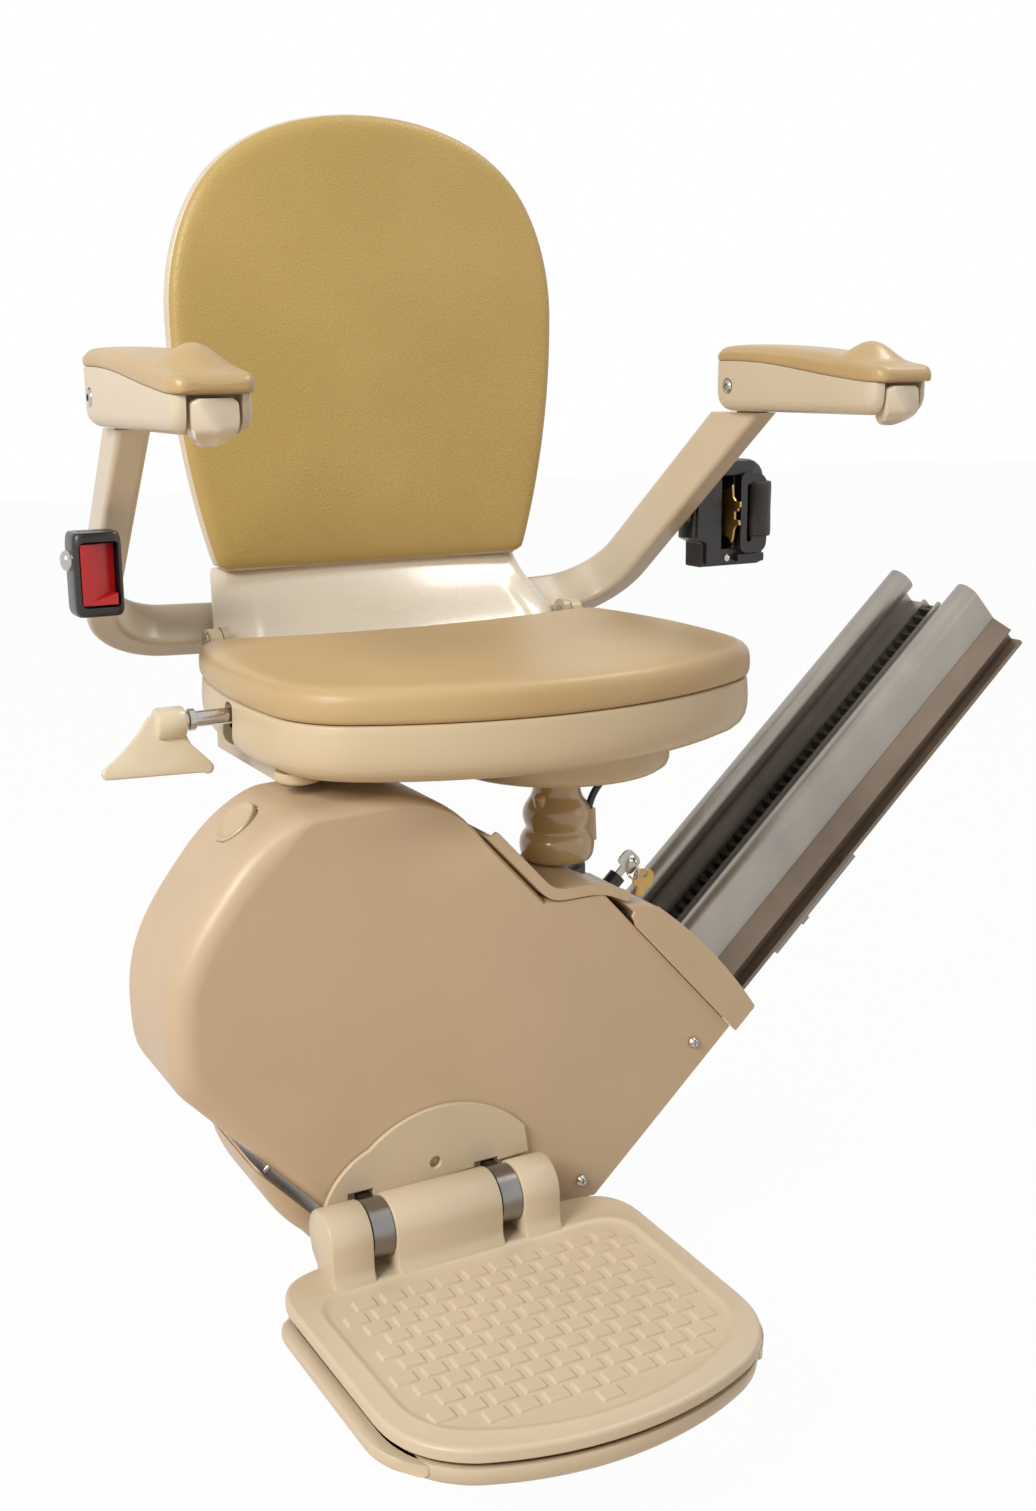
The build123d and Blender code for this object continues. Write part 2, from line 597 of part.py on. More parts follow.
# ---------------------------------------------------------------- carriage covers
def cover_outline(inset=0.0, wall=0.0):
    """The cover's front view in rail coordinates, drawn in at its crown and downhill end, or thinned."""
    tilt = radians(SLOPE)
    drop = inset + wall
    low_s, high_s, step_s = COVER_LOW_S + drop, COVER_HIGH_S - wall, STEP_S - wall
    sole_z, shelf_z, bottom_n = COVER_SOLE_Z + wall, SHELF_Z - wall, COVER_BOTTOM_N + wall
    left_n = (sole_z - low_s * sin(tilt)) / cos(tilt)
    heel_s = (sole_z - bottom_n * cos(tilt)) / sin(tilt)
    high_n = (shelf_z - high_s * sin(tilt)) / cos(tilt)
    shelf_n = (shelf_z - step_s * sin(tilt)) / cos(tilt)
    shoulder = (step_s, 262.0)
    brow = (142.0 - 0.6 * wall, 326.0 - 0.8 * wall)
    crown = (88.0 - 0.4 * wall, 370.7 - 1.1 * wall - 0.5 * inset)
    left_top = (low_s, 289.6)
    top = [(55.0, 381.0 - drop), (13.0 + 0.1 * drop, 379.5 - drop), (-50.0 + 0.4 * drop, 363.0 - 0.9 * drop),
           (-90.0 + 0.8 * drop, 332.0 - 0.6 * drop)]
    return area(
        Line((heel_s, bottom_n), (high_s, bottom_n)),
        Line((high_s, bottom_n), (high_s, high_n)),
        Line((high_s, high_n), (step_s, shelf_n)),
        Line((step_s, shelf_n), shoulder),
        ThreePointArc(shoulder, (159.0 - wall, 298.0 - 0.3 * wall), brow),
        Line(brow, crown),
        Spline(crown, *top, left_top, tangents=[(-0.83, 0.56), (0, -1)]),
        Line(left_top, (low_s, left_n + 40)),
        ThreePointArc((low_s, left_n + 40), (low_s + 7.7, left_n + 3.4), (low_s + 29.5, left_n - 27.0)),
        Line((low_s + 29.5, left_n - 27.0), (heel_s, bottom_n)))


def front_cover():
    """The carriage's moulded cover, open at the back, with a soft rounded crown and end."""
    cover = on_slope(cover_solid(0, COVER_ROUND) - cover_solid(COVER_WALL, COVER_ROUND - COVER_WALL))
    cover -= rod(POST_R + 7.5, (POST_X, POST_Y, 140), (POST_X, POST_Y, SHELF_Z + 30))
    for x in FOOT_ARM_X:
        cover -= block((x - 3, x + 9), (COVER_FRONT_Y - 5, COVER_FRONT_Y + 25), (23, 43))
    for s, n in UPHILL_PINS + DOWNHILL_PINS:
        cover -= on_slope(rod(3 + GAP, (s - 12, PAD_PIN_Y, n), (s + 12, PAD_PIN_Y, n)))
    return cover - plug_axis_rod(PLUG_R + 0.4, -30, 30)


def cover_solid(wall, radius):
    """The cover filled in, or with a wall taken off it what is hollow inside."""
    back_y = COVER_BACK_Y + (1 if wall else 0)
    round_y = COVER_FRONT_Y + wall + radius
    layers = []
    for step in range(7):
        angle = radians(15 * step)
        outline = cover_outline(radius * (1 - cos(angle)), wall)
        layers.append(Plane.XZ.offset(radius * sin(angle) - round_y) * outline)
    return slab(cover_outline(0, wall), round_y, back_y) + loft(layers, ruled=True)


PAD_PIN_Y = -256.0
UPHILL_PINS = ((COVER_HIGH_S, -18.0), (COVER_HIGH_S, 58.0))
DOWNHILL_PINS = ((COVER_LOW_S, 96.0), (COVER_LOW_S, 190.0))


PLUG_R = 18.0


def plug_plane():
    """The plane of the hand-winding plug, square to the motor's axis on the cover's crown."""
    x, z = to_level(MOTOR_S, 381.5)
    up = Vector(-sin(radians(SLOPE)), 0, cos(radians(SLOPE)))
    return Plane(origin=(x, MOTOR_Y, z), z_dir=up)


def plug_axis_rod(radius, low, high):
    plane = plug_plane()
    start = plane.origin + plane.z_dir * low
    end = plane.origin + plane.z_dir * high
    return rod(radius, tuple(start), tuple(end))


def hand_winding_plug():
    """A push-in cap over the hand-winding shaft, with a skirt inside the hole."""
    cap = plug_axis_rod(PLUG_R, -9, 2)
    return cap - plug_axis_rod(PLUG_R - 2.5, -10, -0.5)


def cover_screws():
    """Cross-head screws near the cover's uphill edge."""
    return Compound(children=[rod(4.5, (x, COVER_FRONT_Y - 1.8, z), (x, COVER_FRONT_Y - SEATED, z))
                              for x, z in COVER_SCREW_AT])


def uphill_safety_pad():
    """The sprung end panel that stops the lift when it touches something above."""
    low_s = COVER_HIGH_S + PAD_TRAVEL + 0.5
    face = area(
        Line((low_s, -43), (225, -43)),
        ThreePointArc((225, -43), (228.5, 40), (222.5, 96)),
        Line((222.5, 96), (207, 117)),
        Line((207, 117), (low_s, 112)),
        Line((low_s, 112), (low_s, -43)))
    outer = slab(face, COVER_FRONT_Y, COVER_BACK_Y)
    pad = outer - slab(offset(face, -3), COVER_FRONT_Y + 3, COVER_BACK_Y + 1)
    pad -= block((low_s - 5, 240), (-238, COVER_BACK_Y + 1), (74, 130))
    for s, n in UPHILL_PINS:
        pad += rod(3, (s - 7, PAD_PIN_Y, n), (low_s + 1, PAD_PIN_Y, n))
    return on_slope(pad)


def downhill_safety_pad():
    """The matching sprung pad under the downhill end, rounded like a bumper."""
    pad = slab(pod_face(0), -280, COVER_BACK_Y) - slab(pod_face(3), -277, COVER_BACK_Y + 1)
    for s, n in DOWNHILL_PINS:
        pad += rod(3, (s - PAD_TRAVEL - 2, PAD_PIN_Y, n), (s + 8, PAD_PIN_Y, n))
    return on_slope(pad)


def pod_face(wall):
    """The bumper's section in rail coordinates, thinned by a wall."""
    inner_s = COVER_LOW_S - PAD_TRAVEL - 0.5 - wall
    outer_s = COVER_LOW_S - PAD_TRAVEL - 18 + wall
    low_n, high_n = 66 + 1.5 * wall, 214 - 1.5 * wall
    return area(
        Line((inner_s, low_n), (inner_s, high_n)),
        ThreePointArc((inner_s, high_n), (outer_s + 3.5, 186 - wall), (outer_s, 140)),
        ThreePointArc((outer_s, 140), (outer_s + 3.5, 94 + wall), (inner_s, low_n)))


KEY_AT = (206.0, -181.0, 66.0)
KEY_LENGTH = 34.0


def key_switch():
    """The black lock barrel on a bracket off the plate's uphill edge."""
    s, y, n = KEY_AT
    bracket = block((188 + SEATED, s + 4), (PLATE_FRONT_Y, PLATE_FRONT_Y + 4), (n - 6, n + 6))
    return on_slope(bracket + rod(7.5, (s, y, n), (s + KEY_LENGTH, y, n)))


def key():
    """A flat key in the barrel, with a wire ring through its bow."""
    s, y, n = KEY_AT
    low = s + KEY_LENGTH + GAP
    blade = rectangle(low, low + 8, n - 4, n + 4) + Pos(low + 15, n) * RectangleRounded(18, 20, 6)
    blade -= Pos(low + 19, n) * Circle(3)
    x, z = to_level(low + 19, n)
    ring = Pos(x, y, z - 11) * (Rot(0, 90, 0) * Torus(9, 0.9))
    return Compound(children=[on_slope(slab(blade, y - 1.1, y + 1.1)), ring])


# ---------------------------------------------------------------- footplate
def arch_plate():
    """The arched trim plate above the footplate's hinge, with its access hole."""
    low_z = 37.5
    left, right = KNUCKLE_X[0] + 12, KNUCKLE_X[1] - 3
    face = area(
        Line((left, low_z), (right, low_z + 6)),
        Line((right, low_z + 6), (right - 3, 66)),
        ThreePointArc((right - 3, 66), (-78, 97), (-150, 76)),
        ThreePointArc((-150, 76), (-172, 62), (left, low_z)))
    plate = slab(face, COVER_FRONT_Y - 4, COVER_FRONT_Y - SEATED)
    for x in FOOT_ARM_X:
        plate -= block((x - 10, x + 10), (COVER_FRONT_Y - 6, COVER_FRONT_Y + 1), (30, 46))
    return plate - rod(4.5, (-97, COVER_FRONT_Y - 6, 54), (-97, COVER_FRONT_Y + 1, 54))


def footplate_arms():
    """Two steel hinge arms from the chassis, joined by the footplate's pin."""
    arms = rod(HINGE_PIN_R, (KNUCKLE_X[0] + 8, HINGE_Y, HINGE_Z), (KNUCKLE_X[1] - 8, HINGE_Y, HINGE_Z))
    for x in FOOT_ARM_X:
        half = FOOT_ARM_WIDTH / 2
        arms += sideways(Pos(HINGE_Y, HINGE_Z) * Circle(KNUCKLE_R - 1.5), x - half, x + half)
        arms += block((x - half + 6, x + half), (HINGE_Y + 6, PLATE_FRONT_Y - SEATED), (24, 42))
    return arms


def tread_outline(grow, wing=0.0):
    """The tread in plan: nearly straight sides, bowed front, rounded corners."""
    rear = TREAD_WIDTH / 2 + grow + wing
    front = TREAD_FRONT_WIDTH / 2 + grow + wing
    back, corner, front_y = TREAD_BACK_Y + grow, TREAD_FRONT_Y + 43 - grow, TREAD_FRONT_Y - grow
    face = area(
        Line((TREAD_X - rear, back), (TREAD_X - front, corner)),
        ThreePointArc((TREAD_X - front, corner), (TREAD_X, front_y), (TREAD_X + front, corner)),
        Line((TREAD_X + front, corner), (TREAD_X + rear, back)),
        Line((TREAD_X + rear, back), (TREAD_X - rear, back)))
    face = fillet(face.vertices().sort_by(Axis.Y)[:2], 34 + grow)
    return fillet(face.vertices().sort_by(Axis.Y)[-2:], 36 + grow)


def footplate():
    """The folding tread: a plate with raised grip pads, hinge knuckles and the pan's studs."""
    plate = upright(tread_outline(0), -TREAD_THICK, 0)
    plate = fillet(plate.faces().sort_by(Axis.Z)[-1].edges(), 3)
    recess = upright(tread_outline(-20), -1.5, 1) & block((-300, 200), (-600, -352), (-3, 3))
    plate -= recess
    for pad in grip_pads():
        plate += pad
        ends = [KNUCKLE_X[0]]
    for x in FOOT_ARM_X:
        ends += [x - FOOT_ARM_WIDTH / 2 - 1, x + FOOT_ARM_WIDTH / 2 + 1]
    ends.append(KNUCKLE_X[1])
    for low, high in zip(ends[0::2], ends[1::2]):
        knuckle = Pos(HINGE_Y, HINGE_Z) * Circle(KNUCKLE_R)
        knuckle += rectangle(HINGE_Y - KNUCKLE_R, HINGE_Y + 6, -TREAD_THICK, HINGE_Z)
        plate += sideways(knuckle, low, high)
    for x in FOOT_ARM_X:
        half = FOOT_ARM_WIDTH / 2 + 1
        plate -= block((x - half, x + half), (HINGE_Y - KNUCKLE_R - 0.5, HINGE_Y + 30), (1, 60))
    plate -= rod(HINGE_PIN_R + FIT, (KNUCKLE_X[0] + 7, HINGE_Y, HINGE_Z), (KNUCKLE_X[1] - 7, HINGE_Y, HINGE_Z))
    for x, y in PAN_STUDS:
        plate += rod(3, (x, y, PAN_BOTTOM_Z - 2), (x, y, -TREAD_THICK))
        plate += rod(6, (x, y, PAN_BOTTOM_Z - 2), (x, y, PAN_BOTTOM_Z - SEATED))
    return plate


PAN_STUDS = tuple((TREAD_X + side * 95, y) for side in (-1, 1) for y in (-365.0, -500.0))


GRIP_PITCH_X = 21.5
GRIP_PITCH_Y = 15.5
GRIP_SIZE = (15.0, 10.5)


def grip_pads():
    """Staggered low blocks over the tread's recess."""
    pads = []
    first_y = -366.0
    rows = int((first_y - TREAD_FRONT_Y - 32) / GRIP_PITCH_Y)
    for row in range(rows + 1):
        y = first_y - row * GRIP_PITCH_Y
        shift = GRIP_PITCH_X / 4 if row % 2 else -GRIP_PITCH_X / 4
        for column in range(-6, 7):
            x = TREAD_X + column * GRIP_PITCH_X + shift
            inside = abs(x - TREAD_X) < TREAD_FRONT_WIDTH / 2 - 30 and y > tread_front(x) + 34
            if inside:
                pads.append(block((x - GRIP_SIZE[0] / 2, x + GRIP_SIZE[0] / 2),
                                  (y - GRIP_SIZE[1] / 2, y + GRIP_SIZE[1] / 2), (-2, -0.2)))
    return pads


def tread_front(x):
    """The y of the tread's bowed front edge at x."""
    return TREAD_FRONT_Y + 43 * ((x - TREAD_X) / (TREAD_FRONT_WIDTH / 2)) ** 2


def footplate_safety_pan():
    """The floating tray under the tread, which trips a switch when it is lifted."""
    top_z = -TREAD_THICK - PAN_TRAVEL - 0.4
    pan = upright(tread_outline(-4), PAN_BOTTOM_Z, top_z)
    pan = chamfer(pan.faces().sort_by(Axis.Z)[0].edges(), 4)
    wings = upright(tread_outline(0, PAN_WING), top_z - 9, top_z)
    wings &= block((-400, 200), (-508, -333), (PAN_BOTTOM_Z, 0))
    pan += wings
    pan -= upright(tread_outline(-9), PAN_BOTTOM_Z + 3, top_z + 1)
    for x, y in PAN_STUDS:
        pan -= rod(3 + FIT, (x, y, PAN_BOTTOM_Z - 1), (x, y, PAN_BOTTOM_Z + 4))
    return pan


# ---------------------------------------------------------------- chair frame
def seat_plate():
    """The chair's swivelling steel pan, with its bearing tube and the seat's hinge lugs."""
    low, high = SEAT_PLATE_Z, SEAT_PAN_TOP_Z
    pan = rounded_box((-SEAT_PAN_HALF, SEAT_PAN_HALF), (SEAT_PAN_FRONT_Y, -60), (low, high), 18)
    pan -= rounded_box((3 - SEAT_PAN_HALF, SEAT_PAN_HALF - 3), (SEAT_PAN_FRONT_Y + 3, -63), (low + 4, high + 1), 15)
    pan += block((-92, 92), (-61, 46), (low, low + SEAT_PLATE_THICK))
    for side in (-1, 1):
        low_x, high_x = sorted((side * LUG_X, side * (LUG_X + LUG_THICK)))
        lug = rectangle(-62, FOLD_Y + 11, low, high)
        lug += rectangle(FOLD_Y - 11, FOLD_Y + 11, low, FOLD_Z)
        lug += Pos(FOLD_Y, FOLD_Z) * Circle(11)
        lug -= Pos(FOLD_Y, FOLD_Z) * Circle(FOLD_PIN_R + SEATED)
        pan += sideways(lug, low_x, high_x)
    pan += rod(POST_R + 7, (POST_X, POST_Y, DRUM_BOTTOM_Z + 1), (POST_X, POST_Y, high))
    return pan - rod(POST_R + FIT, (POST_X, POST_Y, DRUM_BOTTOM_Z), (POST_X, POST_Y, high - 4))


def swivel_housing():
    """The round moulded bowl that hides the swivel bearing under the seat."""
    low, high = DRUM_BOTTOM_Z, SEAT_PAN_TOP_Z
    bowl = upright(Pos(POST_X, POST_Y) * Circle(DRUM_R), low, high)
    bowl = fillet(bowl.faces().sort_by(Axis.Z)[0].edges(), 4)
    bowl -= upright(Pos(POST_X, POST_Y) * Circle(DRUM_R - 3), low + 3, high + 1)
    bowl -= block((-200, 200), (SEAT_PAN_FRONT_Y - SEATED, 0), (SEAT_PLATE_Z - SEATED, high + 1))
    return bowl - rod(POST_R + 7 + SEATED, (POST_X, POST_Y, low - 1), (POST_X, POST_Y, high))


def swivel_latch():
    """The latch block in the seat's pan that the lever's shaft turns in."""
    body = block((-173, -150), (-190, -160), (SEAT_PLATE_Z + SEAT_PLATE_THICK + SEATED, 393))
    body = fillet(body.edges().filter_by(Axis.Z), 4)
    return body - rod(LEVER_SHAFT_R + FIT, (-158, LEVER_Y, LEVER_Z), (-180, LEVER_Y, LEVER_Z))


def swivel_lever():
    """The hand lever: a fan-shaped paddle hanging from a steel shaft."""
    z = LEVER_Z
    shaft = rod(LEVER_SHAFT_R, (-159, LEVER_Y, z), (-240, LEVER_Y, z))
    hub = rod(12, (-234, LEVER_Y, z - 1), (-256, LEVER_Y, z - 1))
    fan = area(
        Line((12, -4), (6, 11)),
        Line((6, 11), (25, 29)),
        ThreePointArc((25, 29), (28, 35), (21, 38)),
        Line((21, 38), (-41, 33)),
        ThreePointArc((-41, 33), (-50, 20), (-44, 4)),
        ThreePointArc((-44, 4), (-36, -2), (-26, -3)),
        ThreePointArc((-26, -3), (-6, -6), (12, -4)))
    plane = Plane(origin=(-246, LEVER_Y, z), x_dir=(1, 0, 0), z_dir=(0, 0.97, -0.24))
    paddle = extrude(plane * fan, 2.5, both=True)
    return shaft + hub + paddle


def back_frame():
    """The steel frame inside the back: a cross-beam for the arm bars on two uprights."""
    beam = block((-BAR_END_X + SEATED, BAR_END_X - SEATED), (BEAM_Y - 20, BEAM_Y + 20), (BEAM_Z - 22, BEAM_Z + 22))
    for side in (-1, 1):
        low, high = sorted((side * 62, side * 86))
        beam += block((low, high), (24, 37.5), (SEAT_PLATE_Z + SEAT_PLATE_THICK + SEATED, 780))
    return beam + block((-86, 86), (24, 37.5), (700, 724))


def bar_path():
    """Centre line of the right arm bar: down and back from the arm, then in behind the seat."""
    top = Vector(ARM_CENTRE_X - 0.5, -175, 597)
    elbow = Vector(*BAR_ELBOW)
    end = Vector(BAR_END_X - 5, BEAM_Y - 2, BEAM_Z)
    start = top + (top - elbow).normalized() * 40
    return start, elbow, end


def right_arm_bar():
    """A rectangular bar with a narrow tongue at its top for the armrest's pivot."""
    start, elbow, end = bar_path()
    path = FilletPolyline(start, elbow, end, radius=BAR_BEND_R)
    across = (elbow - start).cross(end - elbow).normalized()
    section = Plane(origin=start, x_dir=across, z_dir=elbow - start) * RectangleRounded(BAR_DEPTH, BAR_THICK, 5)
    bar = sweep(section, path=path)
    bar -= block((ARM_CENTRE_X - 60, ARM_CENTRE_X + 60), (-400, 100), (BAR_TOP_Z, 700))
    bar -= block((50, BAR_END_X), (-50, 100), (350, 480))
    half = TONGUE_DEPTH / 2
    tongue = rectangle(ARM_PIVOT_Y - half, ARM_PIVOT_Y + half, BAR_TOP_Z - 6, ARM_PIVOT_Z)
    tongue += Pos(ARM_PIVOT_Y, ARM_PIVOT_Z) * Circle(half)
    tongue -= Pos(ARM_PIVOT_Y, ARM_PIVOT_Z) * Circle(ARM_BOLT_R + SEATED)
    return bar + sideways(tongue, ARM_CENTRE_X - TONGUE_THICK / 2, ARM_CENTRE_X + TONGUE_THICK / 2)


def arm_pivot_bolts():
    """The bolts through armrests and bars, with domed heads on the outside."""
    pieces = []
    for side in (-1, 1):
        inner, outer = side * (ARM_CENTRE_X - ARM_WIDTH / 2 + 6), side * (ARM_CENTRE_X + ARM_WIDTH / 2)
        bolt = rod(ARM_BOLT_R, (inner, ARM_PIVOT_Y, ARM_PIVOT_Z), (outer, ARM_PIVOT_Y, ARM_PIVOT_Z))
        bolt += rod(8, (outer + side * GAP, ARM_PIVOT_Y, ARM_PIVOT_Z), (outer + side * 3, ARM_PIVOT_Y, ARM_PIVOT_Z))
        bolt += rod(ARM_BOLT_R, (outer, ARM_PIVOT_Y, ARM_PIVOT_Z), (outer + side, ARM_PIVOT_Y, ARM_PIVOT_Z))
        pieces.append(bolt)
    return Compound(children=pieces)


# ---------------------------------------------------------------- back
def back_outline(grow):
    """The backrest's egg in front view, grown by an amount."""
    foot = (BACK_FOOT_HALF + grow, BACK_FOOT_Z)
    wide = (BACK_HALF + grow, BACK_WIDE_Z)
    shoulder = (0.745 * (BACK_HALF + grow), BACK_WIDE_Z + 0.735 * (BACK_TOP_Z + grow - BACK_WIDE_Z))
    top = (0, BACK_TOP_Z + grow)

    def half(sign):
        def p(point):
            return (sign * point[0], point[1])
        waist = ThreePointArc(p(foot), p(((foot[0] + wide[0]) / 2 + 8, (foot[1] + wide[1]) / 2)), p(wide))
        cap = Spline(p(wide), p(shoulder), top, tangents=[(0, 1), (-sign, 0)])
        return [waist, cap]

    return area(*half(1), *half(-1), Line((-foot[0], foot[1]), foot))


def backrest_cushion():
    """The padded back: drawn in at its edge and crowned towards the rider."""
    layers = [(20.0, -4.0), (11.0, 0.0), (5.0, -1.0), (0.5, -7.0), (-2.0, -26.0)]
    faces = [Plane.XZ.offset(-y) * back_outline(grow) for y, grow in layers]
    return loft(faces)


def back_shell():
    """The moulded shell that wraps the cushion's edge and runs down behind the seat."""
    outer = loft([Plane.XZ.offset(-y) * back_outline(grow) for y, grow in ((4, 6), (14, 6), (28, 0), (42, -14))])
    inner = loft([Plane.XZ.offset(-y) * back_outline(grow) for y, grow in ((3, 2.5), (14, 2.5), (26, -4), (38, -18))])
    skirt_top = BACK_FOOT_Z + 30
    skirt = block((-SKIRT_HALF, SKIRT_HALF), (20, 47), (SEAT_PLATE_Z + SEAT_PLATE_THICK + SEATED, skirt_top))
    hollow = block((SHELL_WALL - SKIRT_HALF, SKIRT_HALF - SHELL_WALL), (19, 43), (330, skirt_top + 1))
    shell = outer + skirt - inner - hollow
    for side in (-1, 1):
        low, high = sorted((side * (BAR_END_X - 2), side * 200))
        shell -= block((low, high), (-5, BEAM_Y + 22), (BEAM_Z - 22, BEAM_Z + 22))
    return shell


def lower_back_panel():
    """The glossy panel that sweeps from the foot of the backrest to the seat's rear edge."""
    stations = [(BACK_FOOT_Z - 1, 141.0, 14.0, 12.0), (446.0, 147.0, -1.0, -9.0), (424.0, 159.0, -24.0, -36.0),
                (TRAY_RIM_Z - 8, 160.0, -46.0, SEAT_REAR_Y - SEAT_HOLLOW + 7)]
    faces = []
    for z, half, edge_y, mid_y in stations:
        front = ThreePointArc((-half, edge_y), (0, mid_y), (half, edge_y))
        back = ThreePointArc((half, edge_y + 4), (0, mid_y + 4), (-half, edge_y + 4))
        faces.append(Plane.XY.offset(z) * area(front, Line((half, edge_y), (half, edge_y + 4)), back,
                                               Line((-half, edge_y + 4), (-half, edge_y))))
    panel = loft(faces)
    for side in (-1, 1):
        low, high = sorted((side * (LUG_X - 2), side * 180))
        panel -= block((low, high), (-80, FOLD_Y + 13), (380, FOLD_Z + 13))
    return panel


# ---------------------------------------------------------------- seat
def seat_outline(inset):
    """The seat in plan: hollow rear edge, full sides and a bowed front."""
    rear = (SEAT_REAR_HALF - inset, SEAT_REAR_Y - inset)
    front = (SEAT_REAR_HALF + 8 - inset, SEAT_CORNER_Y + inset)
    back_mid = (0, SEAT_REAR_Y - SEAT_HOLLOW - inset)
    side_mid_y = (SEAT_REAR_Y + SEAT_CORNER_Y) / 2

    def flip(point):
        return (-point[0], point[1])

    face = area(
        ThreePointArc(flip(rear), back_mid, rear),
        ThreePointArc(rear, (SEAT_HALF - inset, side_mid_y), front),
        ThreePointArc(front, (0, SEAT_FRONT_Y + inset), flip(front)),
        ThreePointArc(flip(front), (-SEAT_HALF + inset, side_mid_y), flip(rear)))
    corners = face.vertices().sort_by(Axis.Y)
    face = fillet(corners[:2], 26 - 0.3 * inset)
    return fillet(face.vertices().sort_by(Axis.Y)[-2:], 16 - 0.3 * inset)


def seat_tray():
    """The moulded tray under the cushion, with hinge ears and a scoop for the lever."""
    tray = upright(seat_outline(1), TRAY_BOTTOM_Z, TRAY_RIM_Z)
    tray = fillet(tray.faces().sort_by(Axis.Z)[0].edges(), 14)
    tray -= upright(seat_outline(1 + TRAY_WALL), TRAY_BOTTOM_Z + 15, TRAY_RIM_Z + 1)
    tray -= upright(seat_outline(18), TRAY_BOTTOM_Z + TRAY_WALL, TRAY_RIM_Z + 1)
    tray -= block((-180, -145), (-200, -134), (TRAY_BOTTOM_Z - 1, TRAY_BOTTOM_Z + 20))
    tray -= block((-210, -170), (LEVER_Y - 11, LEVER_Y + 30), (TRAY_BOTTOM_Z - 1, LEVER_Z + 7))
    for side in (-1, 1):
        low, high = sorted((side * (LUG_X + LUG_THICK + 1), side * (LUG_X + LUG_THICK + 11)))
        ear = rectangle(FOLD_Y - 30, FOLD_Y - 8, TRAY_RIM_Z - 26, TRAY_RIM_Z)
        ear += rectangle(FOLD_Y - 20, FOLD_Y + 6, TRAY_RIM_Z - 8, FOLD_Z - 4)
        ear += Pos(FOLD_Y, FOLD_Z) * Circle(10)
        ear -= Pos(FOLD_Y, FOLD_Z) * Circle(FOLD_PIN_R + FIT)
        tray += sideways(ear, low, high)
    return tray


def seat_hinge_pins():
    """The two short pins that join the seat's ears to the frame's lugs."""
    pieces = []
    for side in (-1, 1):
        start, end = side * (LUG_X - 1), side * (LUG_X + LUG_THICK + 13)
        pin = rod(FOLD_PIN_R, (start, FOLD_Y, FOLD_Z), (end, FOLD_Y, FOLD_Z))
        pin += rod(8, (end - side * 1.5, FOLD_Y, FOLD_Z), (end, FOLD_Y, FOLD_Z))
        pieces.append(pin)
    return Compound(children=pieces)


def seat_cushion():
    """The seat pad: drawn in at the tray's rim, full at its side, crowned on top."""
    layers = [(TRAY_RIM_Z + 0.2, 7.0), (TRAY_RIM_Z + 7, 0.5), (TRAY_RIM_Z + 16, 0.0),
              (TRAY_RIM_Z + 23, 5.0), (CUSHION_TOP_Z, 24.0)]
    pad = loft([Plane.XY.offset(z) * seat_outline(inset) for z, inset in layers])
    for side in (-1, 1):
        low, high = sorted((side * (LUG_X - 1.5), side * (LUG_X + LUG_THICK + 15)))
        pad -= block((low, high), (FOLD_Y - 21, FOLD_Y + 20), (TRAY_RIM_Z - 1, CUSHION_TOP_Z + 10))
    return pad


# ---------------------------------------------------------------- armrests
def armrest_split():
    """The seam between an armrest's body and pad in side view, rear to front."""
    return [(ARM_BACK_Y, 636.0), (-215.0, 636.5), (-269.0, 634.0), (-330.0, 623.0), (-352.0, 618.0),
            (ARM_FRONT_Y, 618.0)]


def right_armrest_body():
    """The hollow armrest moulding, slotted underneath and behind for the bar's tongue."""
    profile = polygon((ARM_BACK_Y, ARM_BOTTOM_Z), *armrest_split(), (ARM_FRONT_Y, 611), (-356, ARM_BOTTOM_Z - 1.5))
    low_x, high_x = ARM_CENTRE_X - ARM_WIDTH / 2, ARM_CENTRE_X + ARM_WIDTH / 2
    profile = fillet(profile.vertices().sort_by_distance((ARM_BACK_Y, ARM_BOTTOM_Z, 0))[0], 14)
    body = sideways(profile, low_x, high_x)
    body &= upright(armrest_plan(0), 580, 660)
    body -= block((ARM_CENTRE_X - 15, ARM_CENTRE_X + 15), (-400, -352), (580, 617))
    inner = [(ARM_BACK_Y - 4, ARM_BOTTOM_Z + 14), (ARM_BACK_Y - 4, 632), (-215, 632.5), (-266, 630),
             (-330, 618), (-344, 614), (-344, ARM_BOTTOM_Z + 2), (ARM_BACK_Y - 16, ARM_BOTTOM_Z + 4)]
    body -= sideways(polygon(*inner), low_x + 4, high_x - 4) & upright(armrest_plan(-4), 580, 660)
    half = TONGUE_THICK / 2 + 0.5
    slot = rectangle(ARM_PIVOT_Y - TONGUE_DEPTH / 2 - 2, ARM_BACK_Y + 1, ARM_BOTTOM_Z - 10, ARM_PIVOT_Z + 14)
    body -= sideways(slot, ARM_CENTRE_X - half, ARM_CENTRE_X + half)
    boss = Pos(ARM_PIVOT_Y, ARM_PIVOT_Z) * Circle(9)
    body += sideways(boss, low_x + 3, ARM_CENTRE_X - half)
    body += sideways(boss, ARM_CENTRE_X + half, high_x - 3)
    body -= rod(ARM_BOLT_R + FIT, (low_x + 4, ARM_PIVOT_Y, ARM_PIVOT_Z), (high_x + 1, ARM_PIVOT_Y, ARM_PIVOT_Z))
    return body + rod(3, (ARM_CENTRE_X, -350, TOGGLE_Z), (ARM_CENTRE_X, -366, TOGGLE_Z))


def armrest_plan(grow):
    """The armrest in plan, with rounded corners."""
    low_y, high_y = ARM_FRONT_Y - grow, ARM_BACK_Y + grow
    outline = RectangleRounded(ARM_WIDTH + 2 * grow, high_y - low_y, 12 + grow)
    return Pos(ARM_CENTRE_X, (low_y + high_y) / 2) * outline


TOGGLE_Z = 605.0


